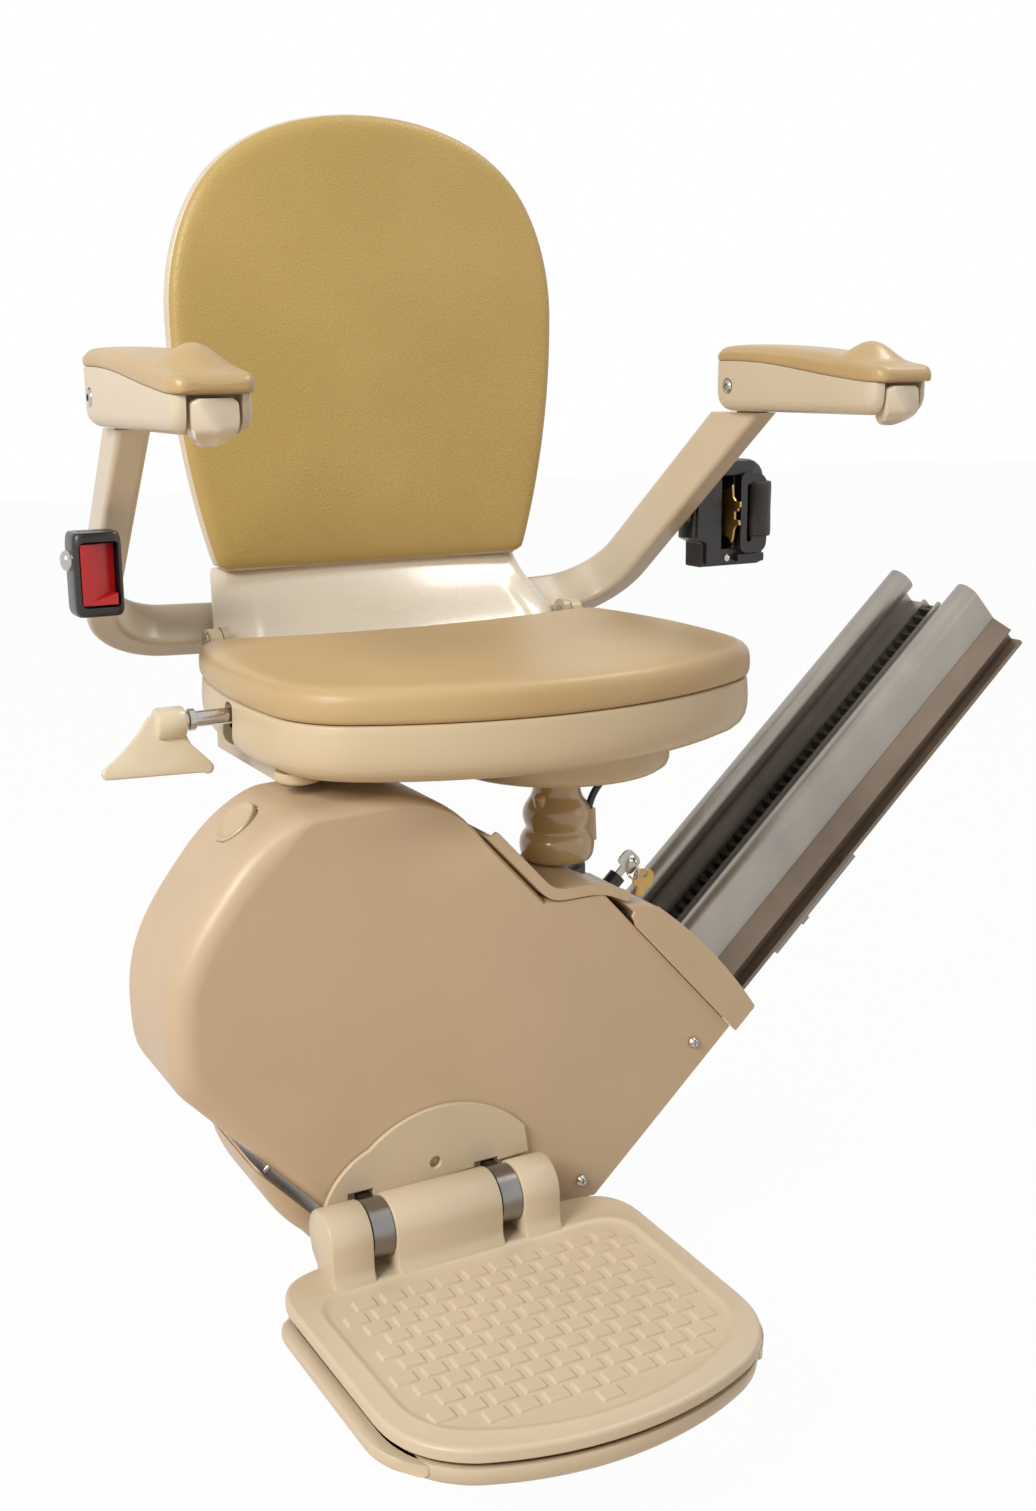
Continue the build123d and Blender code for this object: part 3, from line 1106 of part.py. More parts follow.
def right_armrest_pad():
    """The self-skinned foam top of the armrest, with a rounded hand stop near the front."""
    stations = [(ARM_BACK_Y, 22, ARM_TOP_Z - 9), (ARM_BACK_Y - 5, 25, ARM_TOP_Z - 3), (ARM_BACK_Y - 20, 26.5, ARM_TOP_Z),
                (-269, 26.5, 644), (-333, 26.5, 640), (-352, 26.5, 634), (-365, 25, 629), (-371, 21, 625)]
    sections = []
    for y, half, top in stations:
        outline = Pos(ARM_CENTRE_X, (top + 590) / 2) * RectangleRounded(2 * half, top - 590, 9)
        sections.append(Plane.XZ.offset(-y) * outline)
    pad = loft(sections, ruled=True)
    seam = [(y, z + SEATED) for y, z in armrest_split()]
    below = polygon((ARM_BACK_Y + 9, seam[0][1]), *seam, (-380, seam[-1][1]), (-380, 560), (ARM_BACK_Y + 9, 560))
    pad -= sideways(below, ARM_CENTRE_X - 40, ARM_CENTRE_X + 40)
    stop = Pos(ARM_CENTRE_X, -330, 620) * Sphere(28)
    keep = block((ARM_CENTRE_X - 24, ARM_CENTRE_X + 24), (-362, -295), (630, 670))
    return pad + (stop & keep)


def right_toggle():
    """The hand control in the armrest's nose, tipped left or right by the fingers."""
    face = area(
        ThreePointArc((-12.5, 5), (0, 9.5), (12.5, 5)),
        ThreePointArc((12.5, 5), (10, -8), (0, -13)),
        ThreePointArc((0, -13), (-10, -8), (-12.5, 5)))
    plane = Plane(origin=(ARM_CENTRE_X, -352.5, TOGGLE_Z), x_dir=(1, 0, 0), z_dir=(0, -1, 0))
    paddle = extrude(plane * face, 17.5)
    front = [e for e in paddle.edges() if e.center().Y < -369.9]
    paddle = chamfer(front, 1.5)
    return paddle - rod(3 + FIT, (ARM_CENTRE_X, -350, TOGGLE_Z), (ARM_CENTRE_X, -366.4, TOGGLE_Z))


# ---------------------------------------------------------------- belt
def belt_buckle():
    """The buckle outside the left bar: a black case with a slot on top, on a chrome bolt."""
    low_x, high_x, front_y, back_y = -299.0, -263.5, -150.0, -120.0
    case = block((low_x, high_x), (front_y, back_y), (460, 520))
    case = fillet(case.edges().filter_by(Axis.Z), 5)
    case -= block((low_x + 7, high_x - 7), (front_y + 13, front_y + 17), (495, 520))
    case -= block((low_x + 5, high_x - 5), (front_y - 1, front_y + 8), (468, 512))
    case += block((-270.5, -267.5), (back_y - 2, -62), (486, 506))
    case += rod(6, (-269, -72, 495), (-266.4, -72, 495))
    return case + rod(7, (low_x - 6, -135, 500), (low_x + 1, -135, 500))


def buckle_button():
    """The red release button in the buckle's face."""
    button = block((-294 + GAP, -268.5 - GAP), (-149.5, -146.0), (468 + GAP, 512 - GAP))
    return fillet(button.edges().filter_by(Axis.Y), 2)


def belt_retractor():
    """The inertia reel in its black case, bolted to the outside of the right bar."""
    case = block((272, 350), (-88, -58), (452, 548))
    case = fillet(case.edges().filter_by(Axis.Y), 9)
    case -= block((306, 312), (-90, -68), (474, 528))
    return case + rod(7, (266.4, -72, 497), (273, -72, 497))


def belt_webbing():
    """The folded strap and its loop outside the reel's case."""
    loop = block((350.1, 356), (-92, -62), (478, 530))
    loop = fillet(loop.edges().filter_by(Axis.Z), 2.5)
    return loop + block((334, 350.1), (-92, -88.1), (462, 540))


def belt_tongue():
    """The latch plate parked in the reel's slot."""
    plate = block((307.8, 310.2), (-104, -68.5), (478, 524))
    return plate - block((307, 311), (-99, -93), (486, 516))


# ---------------------------------------------------------------- write the parts
def shifted(shape):
    """Moves a finished piece so that the origin is on the rail's underside."""
    x, z = to_level(FOOT_S, RAIL_BOTTOM_N)
    return Pos(-x, -rail_mid_y(), -z) * shape


PIECES = {
    "rail_upper_low": lambda: rail_length(upper_section(), RAIL_LOW_END, UPPER_SEAM - SEATED),
    "rail_upper_high": lambda: rail_length(upper_section(), UPPER_SEAM, RAIL_HIGH_END),
    "rail_base_low": lambda: rail_length(base_section(), RAIL_LOW_END, BASE_SEAM - SEATED),
    "rail_base_high": lambda: rail_length(base_section(), BASE_SEAM, RAIL_HIGH_END),
    "drive_rack": drive_rack,
    "rail_joiner_plate": joiner_plate,
    "rail_joiner_screws": joiner_screws,
    "chassis_plate": chassis_plate,
    "seat_post": seat_post,
    "post_collar": post_collar,
    "post_gaiter": post_gaiter,
    "seat_cable": seat_cable,
    "front_cover": front_cover,
    "cover_screws": cover_screws,
    "drive_motor": drive_motor,
    "gearbox": gearbox,
    "wheel_axles": wheel_axles,
    "batteries": batteries,
    "control_board": control_board,
    "key_switch": key_switch,
    "arch_plate": arch_plate,
    "footplate_arms": footplate_arms,
    "hand_winding_plug": hand_winding_plug,
    "drive_gear": drive_gear,
    "rail_pinion": rail_pinion,
    "upper_roller_low": lambda: upper_roller(UPPER_ROLLER_S[0]),
    "upper_roller_high": lambda: upper_roller(UPPER_ROLLER_S[1]),
    "lower_roller_low": lambda: lower_roller(UPPER_ROLLER_S[0]),
    "lower_roller_high": lambda: lower_roller(UPPER_ROLLER_S[1]),
    "uphill_safety_pad": uphill_safety_pad,
    "downhill_safety_pad": downhill_safety_pad,
    "key": key,
    "footplate": footplate,
    "footplate_safety_pan": footplate_safety_pan,
    "seat_plate": seat_plate,
    "swivel_housing": swivel_housing,
    "swivel_latch": swivel_latch,
    "swivel_lever": swivel_lever,
    "back_frame": back_frame,
    "back_shell": back_shell,
    "lower_back_panel": lower_back_panel,
    "backrest_cushion": backrest_cushion,
    "arm_bar_right": right_arm_bar,
    "arm_bar_left": lambda: mirrored(right_arm_bar()),
    "arm_pivot_bolts": arm_pivot_bolts,
    "seat_hinge_pins": seat_hinge_pins,
    "seat_tray": seat_tray,
    "seat_cushion": seat_cushion,
    "armrest_body_right": right_armrest_body,
    "armrest_body_left": lambda: mirrored(right_armrest_body()),
    "armrest_pad_right": right_armrest_pad,
    "armrest_pad_left": lambda: mirrored(right_armrest_pad()),
    "hand_toggle_right": right_toggle,
    "hand_toggle_left": lambda: mirrored(right_toggle()),
    "belt_buckle": belt_buckle,
    "buckle_button": buckle_button,
    "belt_retractor": belt_retractor,
    "belt_tongue": belt_tongue,
    "belt_webbing": belt_webbing,
}

os.makedirs("parts", exist_ok=True)
for name, make in PIECES.items():
    export_step(shifted(make()), f"parts/{name}.step")
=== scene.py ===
from math import atan2, cos, exp, hypot, pi, radians, sin, sqrt

import bmesh
import bpy
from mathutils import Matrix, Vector


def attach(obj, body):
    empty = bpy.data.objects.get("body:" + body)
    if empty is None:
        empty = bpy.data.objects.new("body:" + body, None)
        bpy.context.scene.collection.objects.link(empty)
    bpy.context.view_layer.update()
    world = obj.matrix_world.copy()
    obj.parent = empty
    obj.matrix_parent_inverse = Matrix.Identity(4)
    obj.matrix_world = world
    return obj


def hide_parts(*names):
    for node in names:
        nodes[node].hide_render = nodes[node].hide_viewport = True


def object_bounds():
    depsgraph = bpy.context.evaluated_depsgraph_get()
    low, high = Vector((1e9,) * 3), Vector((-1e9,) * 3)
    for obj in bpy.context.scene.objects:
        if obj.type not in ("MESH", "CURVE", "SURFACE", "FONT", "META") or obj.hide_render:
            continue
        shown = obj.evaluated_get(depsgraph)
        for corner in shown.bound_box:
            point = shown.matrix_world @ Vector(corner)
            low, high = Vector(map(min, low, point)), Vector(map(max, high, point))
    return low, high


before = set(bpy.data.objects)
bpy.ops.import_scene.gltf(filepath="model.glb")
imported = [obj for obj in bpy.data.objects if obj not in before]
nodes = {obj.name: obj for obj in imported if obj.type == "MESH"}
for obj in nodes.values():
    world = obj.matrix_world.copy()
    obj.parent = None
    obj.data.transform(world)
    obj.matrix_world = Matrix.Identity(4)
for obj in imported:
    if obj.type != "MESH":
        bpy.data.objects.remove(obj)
scene = bpy.context.scene
cad_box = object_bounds()

# ---------------------------------------------------------------- the studio
# A white cyclorama with one big soft lamp on the view's left, a small high one on its right and a
# very weak fill in front. The floor glows for the camera, and keeps a faint shadow.
# The view is the photograph's, from the front, a little above the footplate's left corner.
camera = bpy.data.objects.new("camera", bpy.data.cameras.new("camera"))
camera.location = (-0.66504, -1.21494, 0.72103)
camera.rotation_euler = (1.3400912438, 0.0088474307, -0.4983868776)
camera.data.sensor_fit = "VERTICAL"
camera.data.sensor_width = 36.0
camera.data.sensor_height = 36.0
camera.data.lens = 39.79
camera.data.clip_start = 0.02
scene.collection.objects.link(camera)
scene.camera = camera
scene.view_settings.view_transform = "Standard"


def softbox(name, spot, aim, size, power, tint):
    """A square soft lamp that faces a point."""
    lamp = bpy.data.lights.new(name, "AREA")
    lamp.shape = "SQUARE"
    lamp.size = size
    lamp.energy = power
    lamp.color = tint
    stand = bpy.data.objects.new(name, lamp)
    stand.location = spot
    stand.rotation_euler = (Vector(aim) - Vector(spot)).to_track_quat("-Z", "Y").to_euler()
    scene.collection.objects.link(stand)


softbox("key_softbox", (-2.2, -1.2, 1.9), (0.0, -0.1, 0.4), 1.0, 60.0, (1.0, 0.98, 0.955))
softbox("side_softbox", (1.9, -1.6, 1.1), (0.0, -0.1, 0.5), 1.2, 3.0, (1.0, 0.94, 0.88))
softbox("high_softbox", (1.1, -0.2, 2.3), (0.0, -0.1, 0.5), 0.5, 13.0, (1.0, 0.975, 0.94))


def put(node, values):
    """Sets the values of a node's inputs."""
    for socket, value in values.items():
        node.inputs[socket].default_value = value
    return node


def added(tree, kind, values=None, operation=None):
    """A new node in a tree."""
    node = tree.nodes.new(kind)
    if operation:
        node.operation = operation
    return put(node, values or {})


def seen_directly(tree):
    """1 for what the camera sees itself, in gloss or through glass, and 0 for light on the object."""
    path = tree.nodes.new("ShaderNodeLightPath")
    either = added(tree, "ShaderNodeMath", operation="MAXIMUM")
    both = added(tree, "ShaderNodeMath", operation="MAXIMUM")
    tree.links.new(path.outputs["Is Camera Ray"], either.inputs[0])
    tree.links.new(path.outputs["Is Glossy Ray"], either.inputs[1])
    tree.links.new(either.outputs[0], both.inputs[0])
    tree.links.new(path.outputs["Is Transmission Ray"], both.inputs[1])
    return both.outputs[0]


def swapped(tree, share, lighting, looking, output):
    """Shows one shader to the camera by a share, and lights the object with the other."""
    choice = tree.nodes.new("ShaderNodeMixShader")
    for i, start in enumerate((share, lighting.outputs[0], looking.outputs[0])):
        tree.links.new(start, choice.inputs[i])
    tree.links.new(choice.outputs[0], tree.nodes[output].inputs["Surface"])


scene.world = bpy.data.worlds.new("studio_walls")
scene.world.use_nodes = True
walls = scene.world.node_tree
lit = put(walls.nodes["Background"], {"Color": (1.0, 0.95, 0.9, 1), "Strength": 0.33})
shown = added(walls, "ShaderNodeBackground", {"Color": (1, 1, 1, 1), "Strength": 1.0})
swapped(walls, seen_directly(walls), lit, shown, "World Output")

FLOOR_GLOW = 0.975
paper = bpy.data.materials.new("floor_paper")
paper.use_nodes = True
sheet = paper.node_tree
matt = put(sheet.nodes["Principled BSDF"],
           {"Base Color": (0.66, 0.54, 0.42, 1), "Roughness": 0.9, "Specular IOR Level": 0.1})
glow = added(sheet, "ShaderNodeEmission", {"Color": (1, 1, 1, 1)})
share = added(sheet, "ShaderNodeMath", {1: FLOOR_GLOW}, "MULTIPLY")
sheet.links.new(seen_directly(sheet), share.inputs[0])
swapped(sheet, share.outputs[0], matt, glow, "Material Output")
ground = bpy.data.meshes.new("floor")
low = cad_box[0].z - 0.002
ground.from_pydata([(-9, -9, low), (9, -9, low), (9, 9, low), (-9, 9, low)], [], [(0, 1, 2, 3)])
ground.materials.append(paper)
floor = bpy.data.objects.new("floor", ground)
scene.collection.objects.link(floor)

# ---------------------------------------------------------------- rail
# Two anodised aluminium extrusions: an upper one with round running beads and a rack trough,
# and the base it sits on. Both are in two lengths, joined by a steel bar under the base's seam.
SLOPE = radians(42.4)


def ink(code):
    """A colour written as #rrggbb, as the shader wants it."""
    parts = [int(code[i:i + 2], 16) / 255 for i in (1, 3, 5)]
    return [c / 12.92 if c <= 0.04045 else ((c + 0.055) / 1.055) ** 2.4 for c in parts]


def blank(name, **values):
    """A new material, with values for its shader, and its node tree."""
    finish = bpy.data.materials.new(name)
    finish.use_nodes = True
    shader = finish.node_tree.nodes["Principled BSDF"]
    put(shader, {label.replace("_", " "): value for label, value in values.items()})
    return finish, finish.node_tree


def dressed(tree, tint, colours, marks, gloss, roughness, height, strength, distance):
    """Drives a shader's colour, roughness and relief from the outputs of textures."""
    ramp = tree.nodes.new("ShaderNodeValToRGB")
    for stop, mark, colour in zip(ramp.color_ramp.elements, marks, colours):
        stop.position = mark
        stop.color = [min(1, c) for c in colour] + [1]
    dull = added(tree, "ShaderNodeMapRange", {"To Min": roughness[0], "To Max": roughness[1]})
    relief = added(tree, "ShaderNodeBump", {"Strength": strength, "Distance": distance})
    shader = tree.nodes["Principled BSDF"].inputs
    for start, end in ((tint, ramp.inputs["Fac"]), (ramp.outputs["Color"], shader["Base Color"]),
                       (gloss, dull.inputs["Value"]), (dull.outputs["Result"], shader["Roughness"]),
                       (height, relief.inputs["Height"]), (relief.outputs["Normal"], shader["Normal"])):
        tree.links.new(start, end)


def noise(tree, where, scale, detail, **values):
    """A noise texture on a piece."""
    texture = added(tree, "ShaderNodeTexNoise", {"Scale": scale, "Detail": detail, **values})
    tree.links.new(where, texture.inputs["Vector"])
    return texture.outputs["Fac"]


def shaded(colour, less):
    """A colour made darker by a share, or lighter by a negative one."""
    return [c * (1 - less) for c in colour]


def metal(name, code, rough=0.35, metallic=0.9, along=(0, 0, 0), stretch=(0.25, 0.0016, 0.0016),
          wear=0.08):
    """A metal with the fine lines that drawing, turning or brushing leaves along one direction."""
    finish, tree = blank(name, Metallic=metallic)
    where = tree.nodes.new("ShaderNodeTexCoord").outputs["Object"]
    turn = tree.nodes.new("ShaderNodeMapping")
    turn.vector_type = "TEXTURE"
    put(turn, {"Rotation": along, "Scale": stretch})
    tree.links.new(where, turn.inputs["Vector"])
    lines = noise(tree, turn.outputs["Vector"], 1.0, 4.0)
    smudge = noise(tree, where, 22.0, 3.0)
    colour = ink(code)
    dressed(tree, smudge, (shaded(colour, wear), shaded(colour, -wear)), (0.3, 0.7),
            lines, (rough - 0.07, rough + 0.1), lines, 0.12, 0.0002)
    return finish


def clad(finish, *names):
    """Gives CAD nodes that keep their shape a finish."""
    for name in names:
        mesh = nodes[name].data
        if not mesh.materials:
            mesh.materials.append(finish)
        for i in range(len(mesh.materials)):
            mesh.materials[i] = finish


rail_skin = metal("rail_aluminium", "#A39D95", 0.33, 0.85, (0, -SLOPE, 0))
# The base is the same anodised aluminium as the upper extrusion. Its darker, browner colour is painted
# shade: the aluminium as it looks in shadow under warm light.
base_skin_in_painted_shade = metal("base_aluminium", "#7F7163", 0.4, 0.7, (0, -SLOPE, 0))
rack_skin = metal("rack_steel", "#5B5650", 0.4, 0.85, (0, 0, 0), (0.002, 0.02, 0.002), 0.15)
zinc = metal("zinc_steel", "#8A8783", 0.34, 0.9, (0, -SLOPE, 0), (0.05, 0.002, 0.002), 0.12)
clad(rail_skin, "rail_upper_low", "rail_upper_high")
clad(base_skin_in_painted_shade, "rail_base_low", "rail_base_high")
clad(rack_skin, "drive_rack")
clad(zinc, "rail_joiner_plate", "rail_joiner_screws")

# ---------------------------------------------------------------- chassis and drive
# Behind the cover: a painted steel plate on nylon rollers, a motor with its worm gearbox,
# a steel pinion that climbs the rack, two sealed batteries in straps, and the control board.


def moulding(name, code, rough=0.42, clouds=0.035, grain=0.10, grain_size=0.0009, gloss_coat=0.0):
    """A moulded plastic, paint or rubber: slight clouding of the colour and the mould's fine texture."""
    finish, tree = blank(name, Metallic=0.0, Coat_Weight=gloss_coat, Coat_Roughness=0.12)
    where = tree.nodes.new("ShaderNodeTexCoord").outputs["Object"]
    cloud = noise(tree, where, 11.0, 4.0, Roughness=0.6)
    spark = noise(tree, where, 1 / grain_size, 2.0)
    rub = noise(tree, where, 37.0, 5.0)
    colour = ink(code)
    dressed(tree, cloud, (shaded(colour, clouds), shaded(colour, -clouds)), (0.3, 0.72),
            rub, (rough - 0.06, rough + 0.08), spark, grain, 0.0003)
    return finish


steel = metal("bright_steel", "#A9A6A1", 0.27, 1.0, (0, 0, 0), (0.002, 0.03, 0.03), 0.08)
gear_steel = metal("gear_steel", "#7E7A74", 0.36, 0.95, (0, 0, 0), (0.004, 0.004, 0.004), 0.15)
chassis_paint = moulding("chassis_paint", "#3B3A39", 0.45, 0.1, 0.25, 0.0012)
motor_paint = moulding("motor_paint", "#4A4C4F", 0.4, 0.08, 0.18, 0.001, 0.1)
alloy = metal("cast_alloy", "#9C9A95", 0.5, 0.8, (0, 0, 0), (0.003, 0.003, 0.003), 0.12)
battery_case = moulding("battery_case", "#2E3032", 0.5, 0.08, 0.2, 0.0011)
board_skin = moulding("board_green", "#2F5B39", 0.38, 0.12, 0.1, 0.002, 0.25)
nylon = moulding("roller_nylon", "#C9C4B8", 0.46, 0.06, 0.15, 0.001)
clad(chassis_paint, "chassis_plate")
clad(motor_paint, "drive_motor")
clad(alloy, "gearbox")
clad(battery_case, "batteries")
clad(board_skin, "control_board")
clad(gear_steel, "rail_pinion", "drive_gear")
clad(steel, "wheel_axles")
clad(nylon, "upper_roller_low", "upper_roller_high", "lower_roller_low", "lower_roller_high")

# ---------------------------------------------------------------- front cover
# One big injection moulding, 3 mm thick and open behind, with a broad soft round down its
# downhill end and over its crown, and a shallow hollow where the swivelling seat passes over.
POST = (60.0, -205.0)
COVER_FRONT_Y, COVER_BACK_Y, COVER_ROUND = -292.0, -190.0, 21.0
SHELF_Z, SOLE_Z, STEP_S = 239.0, -13.0, 165.0


def place(x, y, z):
    """A point laid out in millimetres from the seat's middle, the backrest's foot and the tread."""
    return Vector((x - 79.568, y + 117.5, z + 87.138)) / 1000


def on_slope(s, y, n):
    """A point given along the rail, across it and square to it."""
    return s * cos(SLOPE) - n * sin(SLOPE), y, s * sin(SLOPE) + n * cos(SLOPE)


def arc(start, through, end, steps=12):
    """Points of the round that passes through three points."""
    (ax, ay), (bx, by), (cx, cy) = start, through, end
    area = 2 * (ax * (by - cy) + bx * (cy - ay) + cx * (ay - by))
    a2, b2, c2 = ax * ax + ay * ay, bx * bx + by * by, cx * cx + cy * cy
    ux = (a2 * (by - cy) + b2 * (cy - ay) + c2 * (ay - by)) / area
    uy = (a2 * (cx - bx) + b2 * (ax - cx) + c2 * (bx - ax)) / area
    first = atan2(ay - uy, ax - ux)
    sweep = (atan2(cy - uy, cx - ux) - first) % (2 * pi)
    if (atan2(by - uy, bx - ux) - first) % (2 * pi) > sweep:
        sweep -= 2 * pi
    reach = hypot(ax - ux, ay - uy)
    return [(ux + reach * cos(first + sweep * i / steps), uy + reach * sin(first + sweep * i / steps))
            for i in range(steps + 1)]


def straight(start, end, steps=6):
    """Evenly spaced points from one point to another."""
    return [tuple(a + (b - a) * i / steps for a, b in zip(start, end)) for i in range(steps + 1)]


def flowing(points, first_way, last_way, steps=8):
    """A smooth line through points, leaving and arriving in given directions."""
    points = [Vector(p) for p in points]
    ways = [Vector(first_way).normalized() * (points[1] - points[0]).length]
    for before, here, after in zip(points, points[1:], points[2:]):
        back, ahead = here - before, after - here
        way = back / back.length ** 0.5 + ahead / ahead.length ** 0.5
        ways.append(way.normalized() * (back.length * ahead.length) ** 0.5)
    ways.append(Vector(last_way).normalized() * (points[-1] - points[-2]).length)
    line = []
    for (a, b), (p, q) in zip(zip(ways, ways[1:]), zip(points, points[1:])):
        span = (q - p).length
        a, b = a.normalized() * span, b.normalized() * span
        for i in range(steps):
            t = i / steps
            line.append(tuple(p * (2 * t ** 3 - 3 * t ** 2 + 1) + a * (t ** 3 - 2 * t ** 2 + t)
                              + q * (3 * t ** 2 - 2 * t ** 3) + b * (t ** 3 - t ** 2)))
    return line + [tuple(points[-1])]


def skin(rings, close_first=True, close_last=True):
    """Faces between rings of equal length, and a flat face over each closed end."""
    count = len(rings[0])
    points = [p for ring in rings for p in ring]
    faces = []
    for i in range(len(rings) - 1):
        for j in range(count):
            k = (j + 1) % count
            faces.append((i * count + j, i * count + k, (i + 1) * count + k, (i + 1) * count + j))
    if close_first:
        faces.append(tuple(reversed(range(count))))
    if close_last:
        faces.append(tuple(range((len(rings) - 1) * count, len(rings) * count)))
    return points, faces


def together(*shapes):
    """Several shapes as one."""
    points, faces = [], []
    for more_points, more_faces in shapes:
        faces += [tuple(i + len(points) for i in face) for face in more_faces]
        points += list(more_points)
    return points, faces


def settle(mesh, finish, sharp):
    """Closes a mesh's seams, points its faces outwards and shades it smooth up to an angle."""
    work = bmesh.new()
    work.from_mesh(mesh)
    bmesh.ops.remove_doubles(work, verts=work.verts, dist=2e-6)
    bmesh.ops.dissolve_degenerate(work, edges=work.edges, dist=1e-6)
    bmesh.ops.recalc_face_normals(work, faces=work.faces)
    work.to_mesh(mesh)
    work.free()
    mesh.materials.clear()
    mesh.materials.append(finish)
    mesh.shade_smooth()
    mesh.set_sharp_from_angle(angle=radians(sharp))


def moulded(name, shape, finish, sharp=35):
    """An object made of a shape that was laid out in millimetres."""
    points, faces = shape
    mesh = bpy.data.meshes.new(name)
    mesh.from_pydata([place(*p) for p in points], [], faces)
    settle(mesh, finish, sharp)
    thing = bpy.data.objects.new(name, mesh)
    scene.collection.objects.link(thing)
    return thing


def eased(thing, width, steps=2, angle=30):
    """Breaks a piece's sharp edges by a width in millimetres."""
    ease = thing.modifiers.new("eased_edges", "BEVEL")
    ease.width = width / 1000
    ease.segments = steps
    ease.limit_method = "ANGLE"
    ease.angle_limit = radians(angle)
    ease.harden_normals = True
    return thing


def fixed(thing, finish, sharp=35):
    """Turns what a piece's modifiers make into its own mesh."""
    now = thing.evaluated_get(bpy.context.evaluated_depsgraph_get())
    mesh = bpy.data.meshes.new_from_object(now)
    thing.modifiers.clear()
    thing.data = mesh
    mesh.name = thing.name
    settle(mesh, finish, sharp)
    return thing


def cut(thing, *shapes, finish, sharp=35):
    """Takes shapes out of a piece."""
    tools = []
    for shape in shapes:
        tool = moulded("cutter", shape, finish)
        tools.append(tool)
        bite = thing.modifiers.new("cut", "BOOLEAN")
        bite.operation = "DIFFERENCE"
        bite.solver = "EXACT"
        bite.object = tool
    fixed(thing, finish, sharp)
    for tool in tools:
        bpy.data.objects.remove(tool)
    return thing


def fitted(thing, body, slot, *stands_for):
    """Hangs a piece on its body, in place of CAD nodes."""
    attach(thing, body)
    if stands_for:
        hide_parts(*stands_for)
    return thing


def spun(profile, centre, axis=(0, 0, 1), steps=48, closed=True):
    """A profile of (radius, height) turned about an axis through a centre."""
    axis = Vector(axis).normalized()
    side = axis.orthogonal().normalized()
    other = axis.cross(side)
    rings = []
    for radius, height in profile:
        middle = Vector(centre) + axis * height
        rings.append([tuple(middle + (side * cos(2 * pi * i / steps) + other * sin(2 * pi * i / steps))
                            * max(radius, 0.01)) for i in range(steps)])
    return skin(rings, closed, closed)


def bar(start, end, radius, steps=32):
    """A plain round rod between two points, used to cut holes and to make pins."""
    way = Vector(end) - Vector(start)
    return spun([(radius, 0), (radius, way.length)], start, way, steps)


def brick(x, y, z):
    """A box from pairs of limits."""
    corners = [(x[0], y[0]), (x[1], y[0]), (x[1], y[1]), (x[0], y[1])]
    return skin([[(*c, z[0]) for c in corners], [(*c, z[1]) for c in corners]])


def walled(thing, thickness, way=-1):
    """Gives a surface a wall in millimetres, behind it or in front of it."""
    wall = thing.modifiers.new("wall", "SOLIDIFY")
    wall.thickness = thickness / 1000
    wall.offset = way


def cover_edge(turned):
    """The cover's front view when its round has turned by an angle, in rail coordinates."""
    soft = 1 - cos(turned)
    big, small = COVER_ROUND * soft, 1.6 * max(0.0, soft - 0.2) / 0.8
    upper = 9.0 * soft
    low_s, high_s, step_s = -114.0 + big, 200.0 - small, STEP_S - upper * 0.7
    sole_z, shelf_z, bottom_n = SOLE_Z + small, SHELF_Z - small, -40.0 + small
    left_n = (sole_z - low_s * sin(SLOPE)) / cos(SLOPE)
    heel_s = (sole_z - bottom_n * cos(SLOPE)) / sin(SLOPE)
    high_n = (shelf_z - high_s * sin(SLOPE)) / cos(SLOPE)
    shelf_n = (shelf_z - step_s * sin(SLOPE)) / cos(SLOPE)
    shoulder, crown = (step_s, 262.0), (88.0, 370.7 - 0.5 * big)
    brow = (142.0 - 0.6 * upper, 326.0 - 0.8 * upper)
    through = [(55.0, 381.0 - big), (13.0 + 0.1 * big, 379.5 - big),
               (-50.0 + 0.4 * big, 363.0 - 0.9 * big), (-90.0 + 0.8 * big, 332.0 - 0.6 * big)]
    left_top, left_low = (low_s, 289.6), (low_s, left_n + 40)
    toe = (low_s + 29.5, left_n - 27.0)
    edge = straight((heel_s, bottom_n), (high_s, bottom_n), 14)[:-1]
    edge += straight((high_s, bottom_n), (high_s, high_n), 14)[:-1]
    edge += straight((high_s, high_n), (step_s, shelf_n), 6)[:-1]
    edge += straight((step_s, shelf_n), shoulder, 8)[:-1]
    edge += arc(shoulder, (159.0 - upper * 0.75, 298.0), brow, 8)[:-1]
    edge += straight(brow, crown, 6)[:-1]
    edge += flowing([crown, *through, left_top], (-0.83, 0.56), (0, -1), 9)[:-1]
    edge += straight(left_top, left_low, 12)[:-1]
    edge += arc(left_low, (low_s + 7.7, left_n + 3.4), toe, 8)[:-1]
    return edge + straight(toe, (heel_s, bottom_n), 12)[:-1]


def dip(s, n):
    """How far the cover's face is drawn back in the hollow under the seat and along its step."""
    x, _, z = on_slope(s, 0, n)
    hollow = 7.0 * exp(-((x + 66.0) / 62.0) ** 2 - ((z - 300.0) / 20.0) ** 2)
    return hollow - 1.6 * exp(-((x + 40.0) / 150.0) ** 2 - ((z - 130.0) / 110.0) ** 2) + 1.6


cover_rings = [[on_slope(s, COVER_BACK_Y, n) for s, n in cover_edge(0)],
               [on_slope(s, -235.0, n) for s, n in cover_edge(0)]]
for step in range(13):
    turned = radians(7.5 * step)
    depth = COVER_FRONT_Y + COVER_ROUND - COVER_ROUND * sin(turned)
    sunk = max(0.0, (step - 6) / 6)
    cover_rings.append([on_slope(s, depth + sunk * dip(s, n), n) for s, n in cover_edge(turned)])
heart = (34.0, 152.0)
for share in (0.985, 0.95, 0.9, 0.84, 0.77, 0.7, 0.62, 0.52, 0.4, 0.27, 0.14, 0.03):
    ring = []
    for s, n in cover_edge(pi / 2):
        s, n = heart[0] + (s - heart[0]) * share, heart[1] + (n - heart[1]) * share
        ring.append(on_slope(s, COVER_FRONT_Y + dip(s, n), n))
    cover_rings.append(ring)
cover_plastic = moulding("carriage_plastic", "#CDB697", 0.38, 0.03, 0.07, 0.0011)
